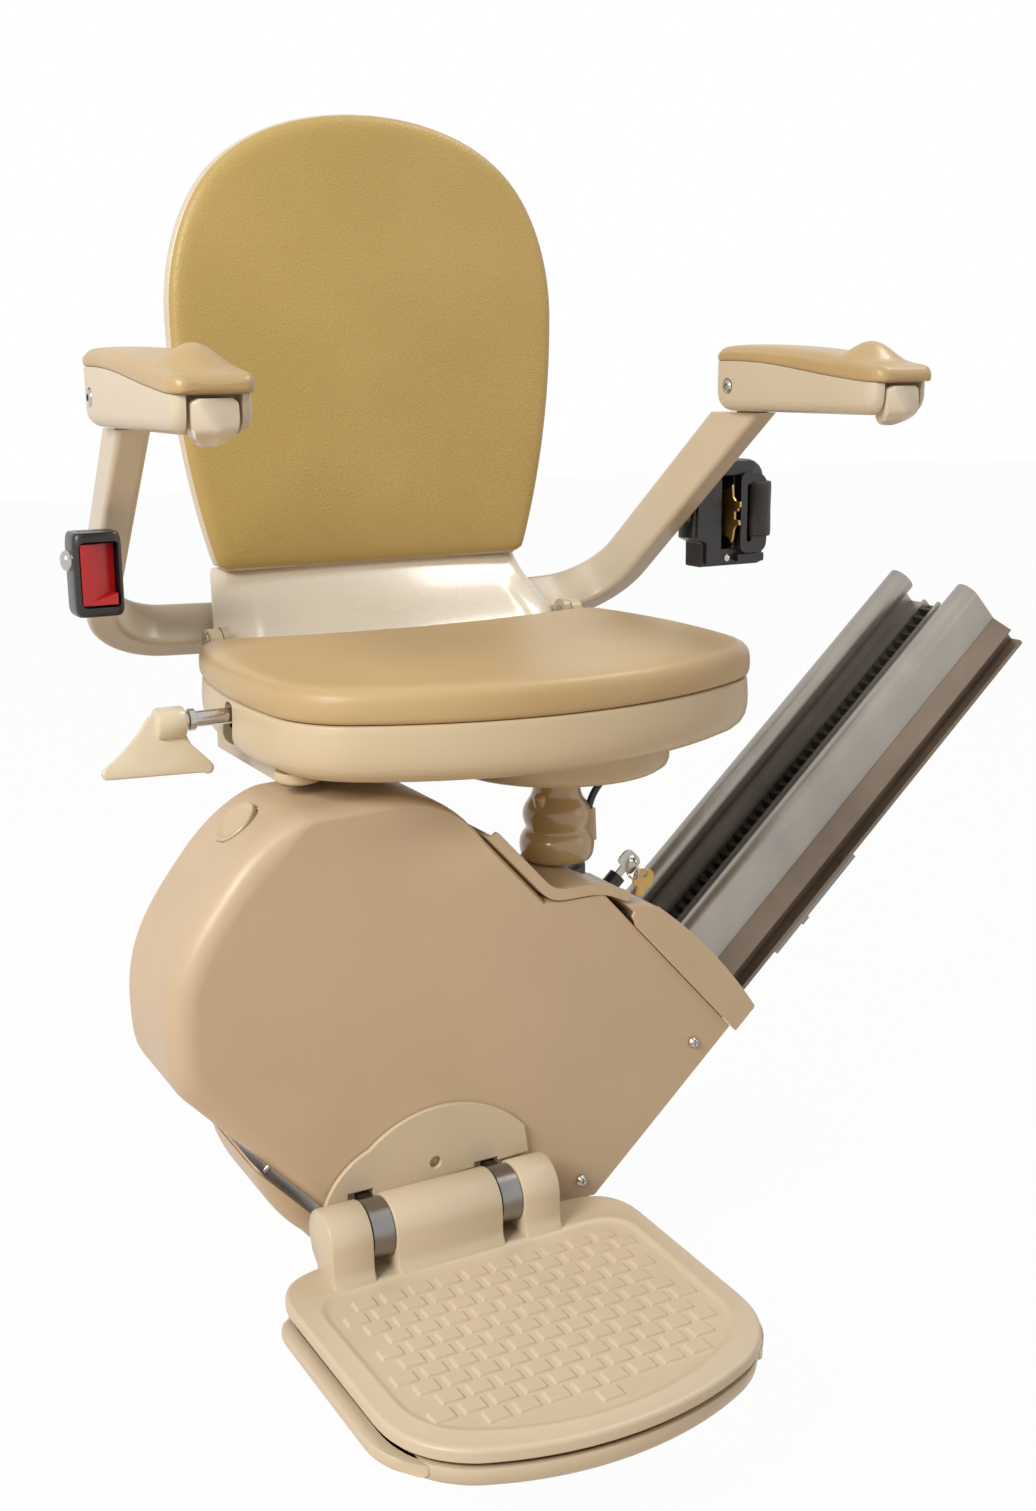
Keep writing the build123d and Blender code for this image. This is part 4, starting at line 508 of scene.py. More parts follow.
cover = moulded("front_cover_moulding", skin(cover_rings, False, True), cover_plastic)
walled(cover, 3.0)
plug_x, _, plug_z = on_slope(54.0, 0, 381.5)
square_out = Vector((-sin(SLOPE), 0, cos(SLOPE)))
plug_at = Vector((plug_x, -230.0, plug_z))
openings = [bar((*POST, 140), (*POST, 272), 24.5, 48),
            bar(plug_at - square_out * 30, plug_at + square_out * 30, 18.4, 48)]
HINGE_X = (-158.0, -54.5)
openings += [brick((x - 3, x + 9), (-297, -267), (23, 43)) for x in HINGE_X]
PIN_Y, UPHILL_PINS, DOWNHILL_PINS = -256.0, (-18.0, 58.0), (96.0, 190.0)
for s, n in [(200.0, n) for n in UPHILL_PINS] + [(-114.0, n) for n in DOWNHILL_PINS]:
    openings.append(bar(on_slope(s - 12, PIN_Y, n), on_slope(s + 12, PIN_Y, n), 3.3, 20))
cut(cover, *openings, finish=cover_plastic, sharp=32)
fitted(cover, "carriage", "carriage_plastic", "front_cover")

# ---------------------------------------------------------------- hand-winding plug
# A round push-in cap over the hand-winding shaft: a shallow dish with a raised rim, moulded in
# the cover's plastic, its skirt gripping the hole.
cap = [(15.4, -9), (17.4, -9), (17.6, -1), (18.0, 0.4), (18.0, 1.2), (17.4, 1.9), (16.4, 2.0),
       (15.2, 1.5), (13.5, 0.6), (9, 0.2), (0, 0.1), (0, -2.0), (14, -1.6), (15.4, -2.5), (15.4, -8.9)]
plug = moulded("winding_plug_cap", spun(cap, plug_at, square_out, 64, False),
               moulding("plug_plastic", "#CDB898", 0.36, 0.03, 0.06, 0.001, 0.1), 40)
fitted(plug, "winding_plug", "carriage_plastic", "hand_winding_plug")

# ---------------------------------------------------------------- cover screws
# Two nickel-plated pan-head screws with a cross recess, near the cover's uphill edge. Each stands
# just in front of the cover's face.


def instanced(name, spots, build, finish, **sizes):
    """A Geometry Nodes tree that stands one small part on each spot, then makes it real."""
    tree = bpy.data.node_groups.new(name, "GeometryNodeTree")
    tree.interface.new_socket("Geometry", in_out="INPUT", socket_type="NodeSocketGeometry")
    tree.interface.new_socket("Geometry", in_out="OUTPUT", socket_type="NodeSocketGeometry")
    sockets = {}
    for label, value in sizes.items():
        socket = tree.interface.new_socket(label, in_out="INPUT", socket_type="NodeSocketFloat")
        socket.default_value = value
        sockets[label] = socket.identifier
    enter = tree.nodes.new("NodeGroupInput")
    leave = tree.nodes.new("NodeGroupOutput")
    part = build(tree, enter)
    spread = tree.nodes.new("GeometryNodeInstanceOnPoints")
    real = tree.nodes.new("GeometryNodeRealizeInstances")
    paint = added(tree, "GeometryNodeSetMaterial", {"Material": finish})
    tree.links.new(enter.outputs["Geometry"], spread.inputs["Points"])
    tree.links.new(part, spread.inputs["Instance"])
    tree.links.new(spread.outputs["Instances"], real.inputs["Geometry"])
    tree.links.new(real.outputs["Geometry"], paint.inputs["Geometry"])
    tree.links.new(paint.outputs["Geometry"], leave.inputs["Geometry"])
    mesh = bpy.data.meshes.new(name)
    mesh.from_pydata([place(*p) for p in spots], [], [])
    thing = bpy.data.objects.new(name, mesh)
    scene.collection.objects.link(thing)
    spreader = thing.modifiers.new("spread", "NODES")
    spreader.node_group = tree
    for label, value in sizes.items():
        spreader[sockets[label]] = value
    now = thing.evaluated_get(bpy.context.evaluated_depsgraph_get())
    made = bpy.data.meshes.new_from_object(now)
    thing.modifiers.clear()
    thing.data = made
    settle(made, finish, 30)
    return thing


def screw_head(tree, enter):
    """A low round head facing the rider, narrower at its top than at its foot."""
    head = added(tree, "GeometryNodeMeshCone", {"Vertices": 28})
    slim = added(tree, "ShaderNodeMath", {1: 0.72}, "MULTIPLY")
    turn = added(tree, "GeometryNodeTransform", {"Rotation": (radians(90), 0, 0)})
    tree.links.new(enter.outputs["head radius"], head.inputs["Radius Bottom"])
    tree.links.new(enter.outputs["head radius"], slim.inputs[0])
    tree.links.new(slim.outputs[0], head.inputs["Radius Top"])
    tree.links.new(enter.outputs["head height"], head.inputs["Depth"])
    tree.links.new(head.outputs["Mesh"], turn.inputs["Geometry"])
    return turn.outputs["Geometry"]


nickel = metal("nickel_plate", "#B9B4AA", 0.24, 1.0, (0, 0, 0), (0.002, 0.002, 0.002), 0.1)
SCREWS = [(137.0, COVER_FRONT_Y - 0.1, 99.0), (32.0, COVER_FRONT_Y - 0.1, 4.0)]
heads = instanced("cover_screw_heads", SCREWS, screw_head, nickel,
                  **{"head radius": 0.0045, "head height": 0.0018})
slots = []
for x, y, z in SCREWS:
    slots += [brick((x - 2.6, x + 2.6), (y - 2.2, y - 0.7), (z - 0.5, z + 0.5)),
              brick((x - 0.5, x + 0.5), (y - 2.2, y - 0.7), (z - 2.6, z + 2.6))]
cut(heads, together(*slots[:1], slots[2]), together(slots[1], slots[3]), finish=nickel, sharp=30)
fitted(heads, "carriage", "steel", "cover_screws")

# ---------------------------------------------------------------- collar on the shelf
# The moulded collar round the seat post. Its plate follows the cover's edge down the step, along
# the level shelf and a little way down the uphill side, and a rounded lip stands up along its front.


def rounded(corners, reaches, steps=6):
    """A closed outline whose corners are rounded off over a reach."""
    line = []
    for i, corner in enumerate(corners):
        corner = Vector(corner)
        before, after = Vector(corners[i - 1]), Vector(corners[(i + 1) % len(corners)])
        reach = reaches[i] if hasattr(reaches, "__len__") else reaches
        if reach <= 0:
            line.append(tuple(corner))
            continue
        a = corner + (before - corner).normalized() * min(reach, (before - corner).length * 0.49)
        b = corner + (after - corner).normalized() * min(reach, (after - corner).length * 0.49)
        for k in range(steps + 1):
            t = k / steps
            line.append(tuple(a * (1 - t) ** 2 + corner * 2 * t * (1 - t) + b * t * t))
    return line


def drawn(outline, low, high, view):
    """An outline made solid, square to the view it is seen in: the top, the front or the side."""
    order = {"top": (0, 1, 2), "front": (0, 2, 1), "side": (2, 0, 1)}[view]
    return skin([[tuple((*p, level)[i] for i in order) for p in outline] for level in (low, high)])


def collar_face(low, high):
    """The collar's front view between two heights above the cover's edge."""
    up_low, up_high = on_slope(STEP_S + low, 0, 250)[::2], on_slope(STEP_S + high, 0, 248)[::2]
    in_low = ((STEP_S + low - (SHELF_Z + low) * sin(SLOPE)) / cos(SLOPE), SHELF_Z + low)
    in_high = ((STEP_S + high - (SHELF_Z + high) * sin(SLOPE)) / cos(SLOPE), SHELF_Z + high)
    out_low, out_high = (50.5, SHELF_Z + low), (51.5, SHELF_Z + high)
    end_low, end_high = (73.5, SHELF_Z - 10.6 + low), (76.0, SHELF_Z - 11.4 + high)
    return rounded([up_low, in_low, out_low, end_low, end_high, out_high, in_high, up_high],
                   [0.8, 12, 14, 0.8, 1.2, 14, 12, 1.2])


collar = moulded("post_collar_plate", drawn(collar_face(0.2, 4.5), -288.0, -181.0, "front"),
                 cover_plastic)
cut(collar, bar((*POST, 225), (*POST, 260), 17.3, 48), finish=cover_plastic)
eased(collar, 0.8, 2)
fitted(collar, "carriage", "carriage_plastic", "post_collar")
lip = moulded("post_collar_lip", drawn(collar_face(0.2, 8.6), -292.4, -287.6, "front"), cover_plastic,
              50)
eased(lip, 1.9, 4, 40)
fitted(lip, "carriage", "carriage_plastic")

# ---------------------------------------------------------------- seat post and gaiter
# The post is a chromed steel tube. A glossy soft PVC sleeve with two bulges hides its foot, with
# a small nub on its left and an upright port on its right that lets the seat's cable out.


def softened(thing):
    """Rounds a piece by dividing its faces once."""
    soft = thing.modifiers.new("soft", "SUBSURF")
    soft.levels = soft.render_levels = 1


chrome = metal("post_chrome", "#BDBAB5", 0.14, 1.0, (0, 0, 0), (0.001, 0.001, 0.4), 0.05)
clad(chrome, "seat_post")
low, high = SHELF_Z + 4.7, 314.0
sleeve = [(17.4, low), (25.0, low), (27.4, low + 1.0), (29.2, low + 4.0), (30.2, low + 8.5),
          (30.5, low + 13.0), (30.1, low + 17.5), (28.4, low + 21.6), (25.8, low + 24.8),
          (24.9, low + 26.6), (25.6, low + 28.6), (27.0, low + 32.2), (27.9, low + 36.6),
          (27.5, low + 41.0), (25.8, low + 45.4), (22.8, low + 49.6), (20.4, low + 53.6),
          (19.2, low + 58.5), (18.7, low + 64.0), (18.9, high - 1.6), (18.3, high), (17.4, high)]
sleeve.append(sleeve[0])
pvc = moulding("gaiter_pvc", "#CDB182", 0.2, 0.06, 0.05, 0.002, 0.5)
gaiter = moulded("post_gaiter_sleeve", spun(sleeve, (*POST, 0), (0, 0, 1), 72, False), pvc, 60)
softened(gaiter)
fitted(gaiter, "carriage", "gaiter_rubber", "post_gaiter")
dome = [(5.0, -22), (5.4, 0), (5.2, 2.2), (4.0, 4.0), (2.0, 5.0), (0, 5.2)]
port = [(6.6, -26), (6.0, -12), (5.6, -1.2), (5.0, 0), (3.4, 0), (3.3, -1.5), (3.3, -6), (0, -6)]
nubs = together(spun(dome, (39.8, -213.4, 296.5), (-0.28, -0.1, 1), 28),
                spun(port, (83, -216.5, 285), (0, 0, 1), 28))
nub = moulded("post_gaiter_ports", nubs, pvc, 60)
fitted(nub, "carriage", "gaiter_rubber")

# ---------------------------------------------------------------- seat cable
# A short black PVC cable from the gaiter's port up into the swivel housing. It is a fixed lead:
# both of its ends stay on the object, and it has no slack.
cable_points = [(83.0, -216.5, 285.2), (84.6, -216.9, 291.5), (88.6, -218.8, 301.0),
                (95.5, -221.9, 310.8), (101.6, -224.5, 319.4), (103.0, -225.0, 321.6)]
line = bpy.data.curves.new("seat_cable_lead", "CURVE")
line.dimensions = "3D"
line.bevel_depth = 0.003
line.bevel_resolution = 5
line.resolution_u = 10
line.use_fill_caps = True
run = line.splines.new("NURBS")
run.points.add(len(cable_points) - 1)
for point, spot in zip(run.points, cable_points):
    point.co = (*place(*spot), 1)
run.order_u = 3
run.use_endpoint_u = True
cable = bpy.data.objects.new("seat_cable_lead", line)
line.materials.append(moulding("cable_black", "#1B1A1A", 0.38, 0.1, 0.1, 0.0012, 0.1))
scene.collection.objects.link(cable)
fitted(cable, "carriage", "black_plastic", "seat_cable")

# ---------------------------------------------------------------- safety edges
# Two sprung end panels that stop the lift when something is in its way: a deep flat-faced one at
# the uphill end, and a rounded bumper under the downhill end. Their pins slide in the cover.
panel_low = 204.2


def from_front(edge):
    """An edge in rail coordinates as the front view shows it."""
    return [on_slope(s, 0, n)[::2] for s, n in edge]


def pins(name, near_s, far_s, heights):
    """The steel pins that a safety edge slides on."""
    rods = [bar(on_slope(near_s, PIN_Y, n), on_slope(far_s, PIN_Y, n), 2.9, 20) for n in heights]
    return moulded(name, together(*rods), steel)


panel_edge = [(panel_low, -43), (224, -43)] + arc((225, -41), (228.5, 40), (222.5, 95), 12)
panel_edge += [(219.5, 100.5), (212.5, 111.5), (209.0, 115.5), (206.0, 116.5), (205.4, 110.5),
               (206.6, 108.6), (206.4, 104.6), (panel_low, 101.0)]
panel = drawn(from_front(panel_edge), COVER_FRONT_Y - 0.4, COVER_BACK_Y, "front")
panel = moulded("uphill_pad_panel", panel, cover_plastic, 38)
inner_edge = [(panel_low + 3, -40), (222, -40)] + arc((222, -38), (225.2, 40), (219.4, 92), 12)
inner_edge.append((panel_low + 3, 98))
cut(panel, drawn(from_front(inner_edge), COVER_FRONT_Y + 2.4, COVER_BACK_Y + 5, "front"),
    bar((POST[0] - 4, POST[1], 150), (POST[0] - 4, POST[1], 270), 24, 40), finish=cover_plastic,
    sharp=38)
eased(panel, 1.3, 3, 40)
face_edge = [(198.8, -43.6), (224.4, -43.6)] + arc((225.4, -41), (229.0, 40), (223.0, 95), 12)
face_edge += [(220.0, 100.5), (213.0, 111.5), (209.4, 115.7), (206.4, 116.7), (205.8, 110.7),
              (201.6, 109.4), (200.6, 104.6), (198.8, 101.0)]
pad_face = drawn(from_front(face_edge), COVER_FRONT_Y - 3.4, COVER_FRONT_Y - 0.5, "front")
pad_face = moulded("uphill_pad_face", pad_face, cover_plastic, 38)
eased(pad_face, 1.3, 3, 40)
fitted(pad_face, "uphill_edge", "carriage_plastic")
panel_pins = pins("uphill_pad_pins", 193, 206, UPHILL_PINS)
fitted(panel, "uphill_edge", "carriage_plastic", "uphill_safety_pad")
fitted(panel_pins, "uphill_edge", "steel")

bumper_rings = []
inner_s, outer_s, BUMPER_FRONT_Y, BUMPER_ROUND = -121.6, -136.0, -280, 13
for k in range(11):
    turned = radians(9 * k)
    pull = BUMPER_ROUND * (1 - cos(turned))
    depth = BUMPER_FRONT_Y + BUMPER_ROUND - BUMPER_ROUND * sin(turned)
    edge = [(inner_s, 66 + pull * 0.7), (inner_s, 214 - pull * 0.7)]
    edge += arc((inner_s - 0.5, 213 - pull * 0.7), (outer_s + 3.5 + pull * 0.8, 186 - pull * 0.5),
                (outer_s + pull, 140), 10)
    edge += arc((outer_s + pull, 140), (outer_s + 3.5 + pull * 0.8, 94 + pull * 0.5),
                (inner_s - 0.5, 67 + pull * 0.7), 10)[1:]
    if k == 0:
        bumper_rings.append([on_slope(s, COVER_BACK_Y, n) for s, n in edge])
    bumper_rings.append([on_slope(s, depth, n) for s, n in edge])
bumper = moulded("downhill_pad_bumper", skin(bumper_rings, False, True), cover_plastic, 40)
walled(bumper, 2.8)
fixed(bumper, cover_plastic, 40)
bumper_pins = pins("downhill_pad_pins", -121, -106, DOWNHILL_PINS)
fitted(bumper, "downhill_edge", "carriage_plastic", "downhill_safety_pad")
fitted(bumper_pins, "downhill_edge", "steel")

# ---------------------------------------------------------------- lock and key
# A black zinc lock barrel on a bracket from the chassis, with a nickel-plated key in it. A split
# ring of spring wire through its bow carries the spare, a brass one.
black = moulding("black_plastic", "#1B1716", 0.34, 0.12, 0.16, 0.0011, 0.15)
clad(black, "key_switch")
KEY_S, KEY_Y, KEY_N = 240.3, -181.0, 66.0
brass = metal("key_brass", "#B89559", 0.3, 0.85, (0, -SLOPE, 0), (0.02, 0.002, 0.002), 0.15)
key_nickel = metal("key_nickel", "#B5AEA4", 0.26, 0.95, (0, -SLOPE, 0), (0.02, 0.002, 0.002), 0.12)


def key_shape(start, lean, y):
    """A key's bow and the root of its blade, from where it leaves the lock or its ring."""
    corners = [(0, -3.6), (8, -3.6), (8, -10), (24, -10), (24, 10), (8, 10), (8, 3.6), (0, 3.6)]
    turned = []
    for along_key, across in rounded(corners, [0.6, 1.2, 5, 7, 7, 5, 1.2, 0.6]):
        turned.append((start[0] + along_key * cos(lean) - across * sin(lean),
                       start[1] + along_key * sin(lean) + across * cos(lean)))
    return drawn(turned, y - 1.1, y + 1.1, "front")


root = on_slope(KEY_S, 0, KEY_N)[::2]
hole = (root[0] + 19 * cos(SLOPE), root[1] + 19 * sin(SLOPE))
lock_key = moulded("lock_key_bow", key_shape(root, SLOPE, KEY_Y), key_nickel)
cut(lock_key, bar((hole[0], KEY_Y - 4, hole[1]), (hole[0], KEY_Y + 4, hole[1]), 3, 24),
    finish=key_nickel)
eased(lock_key, 0.4, 2)
fitted(lock_key, "lock_key", "key_brass", "key")
spare_root = (hole[0] + 5.0, hole[1] - 33.0)
spare_hole = (spare_root[0] + 19 * cos(radians(76)), spare_root[1] + 19 * sin(radians(76)))
spare = moulded("spare_key_bow", key_shape(spare_root, radians(76), KEY_Y - 4.5), brass)
cut(spare, bar((spare_hole[0], KEY_Y - 9, spare_hole[1]), (spare_hole[0], KEY_Y, spare_hole[1]), 3, 24),
    finish=brass)
eased(spare, 0.4, 2)
fitted(spare, "lock_key", "key_brass")
turns, around = 2, 10
hoop = []
for i in range(turns * 40 + 1):
    a = 2 * pi * i / 40
    middle = Vector((hole[0] - 0.9 + 1.8 * i / (turns * 40), KEY_Y - 1 + 9 * sin(a),
                     hole[1] - 9 + 9 * cos(a)))
    out = Vector((0, sin(a), cos(a)))
    hoop.append([tuple(middle + out * (0.8 * cos(2 * pi * j / around))
                       + Vector((0.8 * sin(2 * pi * j / around), 0, 0))) for j in range(around)])
ring = moulded("lock_key_ring", skin(hoop), chrome, 50)
fitted(ring, "lock_key", "polished_steel")

# ---------------------------------------------------------------- arched trim plate
# A flat moulded cover plate over the footplate's hinge, 4 mm thick, screwed to the front cover.
# It has one round access hole and two notches for the hinge straps.
trim_plastic = moulding("footplate_plastic", "#D6C6AB", 0.38, 0.03, 0.06, 0.0011)
arch = [(-187, 37.5), (-18, 43.5)] + straight((-18, 43.5), (-21, 66), 3)[1:]
arch += arc((-21, 66), (-78, 97), (-150, 76), 22)[1:] + arc((-150, 76), (-172, 62), (-187, 37.5),
                                                            10)[1:-1]
plate = moulded("arch_trim_plate", drawn(arch, -296.0, -292.1, "front"), trim_plastic)
cut(plate, *[brick((x - 10, x + 10), (-300, -290), (30, 46)) for x in HINGE_X],
    bar((-97, -300, 54), (-97, -290, 54), 4.5, 28), finish=trim_plastic)
eased(plate, 0.8, 3)
fitted(plate, "carriage", "footplate_plastic", "arch_plate")
strap_steel = metal("strap_steel", "#8C8A86", 0.3, 1.0, (0, 0, 0), (0.3, 0.002, 0.002), 0.16)
clad(strap_steel, "footplate_arms")

# ---------------------------------------------------------------- footplate
# The folding tread: a moulded plate with a raised rounded border round a shallow recess full of
# staggered grip pads, and a barrel hinge in three lengths along its rear edge.
TREAD_X, TREAD_BACK, TREAD_FRONT = -91.5, -304.0, -568.0
TREAD_REAR_HALF, TREAD_FRONT_HALF, TREAD_BOW = 143, 139, 43
HINGE_Y, HINGE_Z, KNUCKLE_R = -317.0, 27.0, 23.0


def trimmed(line, reach):
    """A line without the first part of its length."""
    walked = 0.0
    for i, (a, b) in enumerate(zip(line, line[1:])):
        step = hypot(b[0] - a[0], b[1] - a[1])
        if walked + step > reach:
            t = (reach - walked) / step
            return [(a[0] + (b[0] - a[0]) * t, a[1] + (b[1] - a[1]) * t)] + list(line[i + 1:])
        walked += step
    return list(line[-1:])


def looped(edges, reaches, count):
    """Edges joined in a ring with their corners rounded, as evenly spaced points."""
    line = []
    for i, edge in enumerate(edges):
        kept = trimmed(edge, reaches[i])
        kept = trimmed(kept[::-1], reaches[(i + 1) % len(edges)])[::-1]
        corner = edges[i][0]
        before = trimmed(edges[i - 1][::-1], reaches[i])[0]
        a, b, c = Vector(before), Vector(corner), Vector(kept[0])
        for k in range(9):
            t = k / 8
            line.append(tuple(a * (1 - t) ** 2 + b * 2 * t * (1 - t) + c * t * t))
        line += kept
    total, marks = 0.0, [0.0]
    ring = line + [line[0]]
    for a, b in zip(ring, ring[1:]):
        total += hypot(b[0] - a[0], b[1] - a[1])
        marks.append(total)
    points, k = [], 0
    for i in range(count):
        want = total * i / count
        while marks[k + 1] < want:
            k += 1
        span = marks[k + 1] - marks[k]
        t = (want - marks[k]) / span if span > 1e-9 else 0
        a, b = ring[k], ring[k + 1]
        points.append((a[0] + (b[0] - a[0]) * t, a[1] + (b[1] - a[1]) * t))
    return points


def tread_plan(grow, back=None, count=160):
    """The tread in plan, grown by an amount: bowed front, nearly straight sides, round corners."""
    rear, front = TREAD_REAR_HALF + grow, TREAD_FRONT_HALF + grow
    back = TREAD_BACK + grow if back is None else back
    side_y, front_y = TREAD_FRONT + TREAD_BOW - grow, TREAD_FRONT - grow
    a, b = (TREAD_X - rear, back), (TREAD_X + rear, back)
    c, d = (TREAD_X + front, side_y), (TREAD_X - front, side_y)
    edges = [straight((TREAD_X, back), b, 8), straight(b, c, 20), arc(c, (TREAD_X, front_y), d, 30),
             straight(d, a, 20), straight(a, (TREAD_X, back), 8)]
    bend = max(12.0, 44 + 0.8 * grow)
    return looped(edges, [0, bend, bend, bend, bend], count)


tread = []
for z, grow in ((-10, -2.0), (-9.4, -0.7), (-8.5, 0), (-3, 0), (-1.6, -0.35), (-0.6, -1.2), (-0.1, -2.4),
                (0, -3.6)):
    tread.append([(x, y, z) for x, y in tread_plan(grow)])
for z, grow, back in ((0, -13.2, -339.0), (0.45, -14.4, -340.2), (0.55, -15.8, -341.6),
                      (0.1, -17.2, -343.0), (-0.75, -18.6, -344.6), (-1.4, -20.0, -346.4),
                      (-1.6, -22.0, -349.0)):
    tread.append([(x, y, z) for x, y in tread_plan(grow, back)])
plate_shape = skin(tread)

knuckle_edge = [(HINGE_Y - KNUCKLE_R - 5.0, -6), (HINGE_Y - KNUCKLE_R - 3.2, 1.2),
                (HINGE_Y - KNUCKLE_R - 0.8, 5.0), (HINGE_Y - KNUCKLE_R, 12)]
for i in range(19):
    a = pi - pi * 1.02 * i / 18
    knuckle_edge.append((HINGE_Y + KNUCKLE_R * cos(a), HINGE_Z + KNUCKLE_R * sin(a)))
knuckle_edge += [(HINGE_Y + 18, 12), (HINGE_Y + 8, 4), (HINGE_Y + 6, -9.5)]
barrels = []
ends = [-199.0] + [v for x in HINGE_X for v in (x - 9, x + 9)] + [-15.0]
for left, right in zip(ends[0::2], ends[1::2]):
    rings = []
    for x, pull in ((left, 1.6), (left + 0.4, 0.7), (left + 1.6, 0), (right - 1.6, 0),
                    (right - 0.4, 0.7), (right, 1.6)):
        share = 1 - pull / KNUCKLE_R
        rings.append([(x, HINGE_Y + (y - HINGE_Y) * share, HINGE_Z + (z - HINGE_Z) * share)
                      for y, z in knuckle_edge])
    barrels.append(skin(rings))
STUDS = [(TREAD_X + side * 95, y) for side in (-1, 1) for y in (-365.0, -500.0)]
stud = [(3, -9), (3, -31.1), (6, -31.1), (6, -32.2), (4.8, -33)]
studs = [spun(stud, (*spot, 0), (0, 0, 1), 24) for spot in STUDS]
tread_plate = moulded("footplate_tread", together(plate_shape, *studs), trim_plastic, 30)
fitted(tread_plate, "footrest", "footplate_plastic", "footplate")
hinge = moulded("footplate_hinge_barrels", together(*barrels), trim_plastic, 32)
fitted(hinge, "footrest", "footplate_plastic")


def grip_pad(tree, enter):
    """A low oblong pad whose top is smaller than its foot."""
    body = tree.nodes.new("GeometryNodeMeshCube")
    size = tree.nodes.new("ShaderNodeCombineXYZ")
    where = tree.nodes.new("GeometryNodeInputPosition")
    apart = tree.nodes.new("ShaderNodeSeparateXYZ")
    top = added(tree, "ShaderNodeMath", {1: 0.0}, "GREATER_THAN")
    narrower = added(tree, "ShaderNodeVectorMath", {1: (-0.26, -0.17, 0)}, "MULTIPLY")
    shift = tree.nodes.new("GeometryNodeSetPosition")
    for start, end in ((enter.outputs["pad width"], size.inputs["X"]),
                       (enter.outputs["pad depth"], size.inputs["Y"]),
                       (enter.outputs["pad height"], size.inputs["Z"]),
                       (size.outputs[0], body.inputs["Size"]), (where.outputs[0], apart.inputs[0]),
                       (apart.outputs["Z"], top.inputs[0]), (where.outputs[0], narrower.inputs[0]),
                       (body.outputs["Mesh"], shift.inputs["Geometry"]),
                       (top.outputs[0], shift.inputs["Selection"]),
                       (narrower.outputs[0], shift.inputs["Offset"])):
        tree.links.new(start, end)
    return shift.outputs["Geometry"]


PITCH_X, PITCH_Y = 21.5, 15.5
spots = []
for row in range(13):
    y = -364.5 - row * PITCH_Y
    for column in range(-6, 7):
        x = TREAD_X + column * PITCH_X + PITCH_X * (row * 0.4 % 1 - 0.4)
        front = TREAD_FRONT + TREAD_BOW * ((x - TREAD_X) / TREAD_FRONT_HALF) ** 2
        if abs(x - TREAD_X) < 110 and y > front + 32:
            spots.append((x, y, -1.2))
grip = instanced("footplate_grip_pads", spots, grip_pad, trim_plastic,
                 **{"pad width": 0.0186, "pad depth": 0.0134, "pad height": 0.0032})
eased(grip, 0.3, 1, 25)
fitted(grip, "footrest", "footplate_plastic")

# ---------------------------------------------------------------- safety pan
# A floating tray under the tread, which trips a switch when something lifts it. It has a flange
# that shows at each side, and a dark gap between it and the tread.
pan_rings = []
for z, grow in ((-31, -12), (-30.6, -9.0), (-29.2, -6), (-27, -3.6), (-24.5, -2.2), (-20, -1.6),
                (-15.6, -1.4), (-14.7, -1.8), (-14.4, -2.8), (-14.4, -5), (-14.8, -5.8), (-16, -6),
                (-28, -7.4)):
    pan_rings.append([(x, y, z) for x, y in tread_plan(grow)])
flange = []
for side in (-1, 1):
    plan = rounded([(side * 122, -528), (side * 147, -503), (side * 150, -340), (side * 136, -330)],
                   [4, 22, 14, 6])
    layers = []
    for z, pull in ((-23.4, 2.2), (-22.4, 0.6), (-20.5, 0), (-17, 0), (-15.2, 0.5), (-14.4, 2.0)):
        layers.append([(TREAD_X + side * 140 + (x - side * 140) * (1 - pull / 9),
                        -420 + (y + 420) * (1 - pull / 90), z) for x, y in plan])
    flange.append(skin(layers))
pan = moulded("footplate_pan_tray", together(skin(pan_rings), *flange), trim_plastic, 34)
cut(pan, *[bar((*spot, -34), (*spot, -20), 3.3, 20) for spot in STUDS], finish=trim_plastic, sharp=34)
fitted(pan, "footrest_pan", "footplate_plastic", "footplate_safety_pan")

# ---------------------------------------------------------------- swivelling seat frame
# A pressed steel pan turns on the post. A round moulded bowl hides its bearing, and a latch in
# the pan holds the seat at its stops.
pan_paint = moulding("frame_paint", "#C6B69C", 0.36, 0.05, 0.12, 0.0012, 0.1)
clad(pan_paint, "seat_plate", "back_frame")
clad(black, "swivel_latch")
clad(nickel, "seat_hinge_pins")
seat_plastic = moulding("seat_tray_plastic", "#D4C2A1", 0.37, 0.03, 0.06, 0.0011)
bowl = [(24.2, 350), (24.2, 322), (60, 322.0), (78, 322.2), (84.5, 323.4), (88.4, 326.0), (89.8, 329.4),
        (90, 333.0), (90, 350), (87, 350), (87, 333), (85, 328.4), (79, 325.2), (60, 325), (27.2, 325),
        (27.2, 350)]
housing = moulded("swivel_housing_bowl", spun(bowl + bowl[:1], (*POST, 0), (0, 0, 1), 96, False),
                  seat_plastic, 35)
fitted(housing, "chair", "beige_plastic", "swivel_housing")

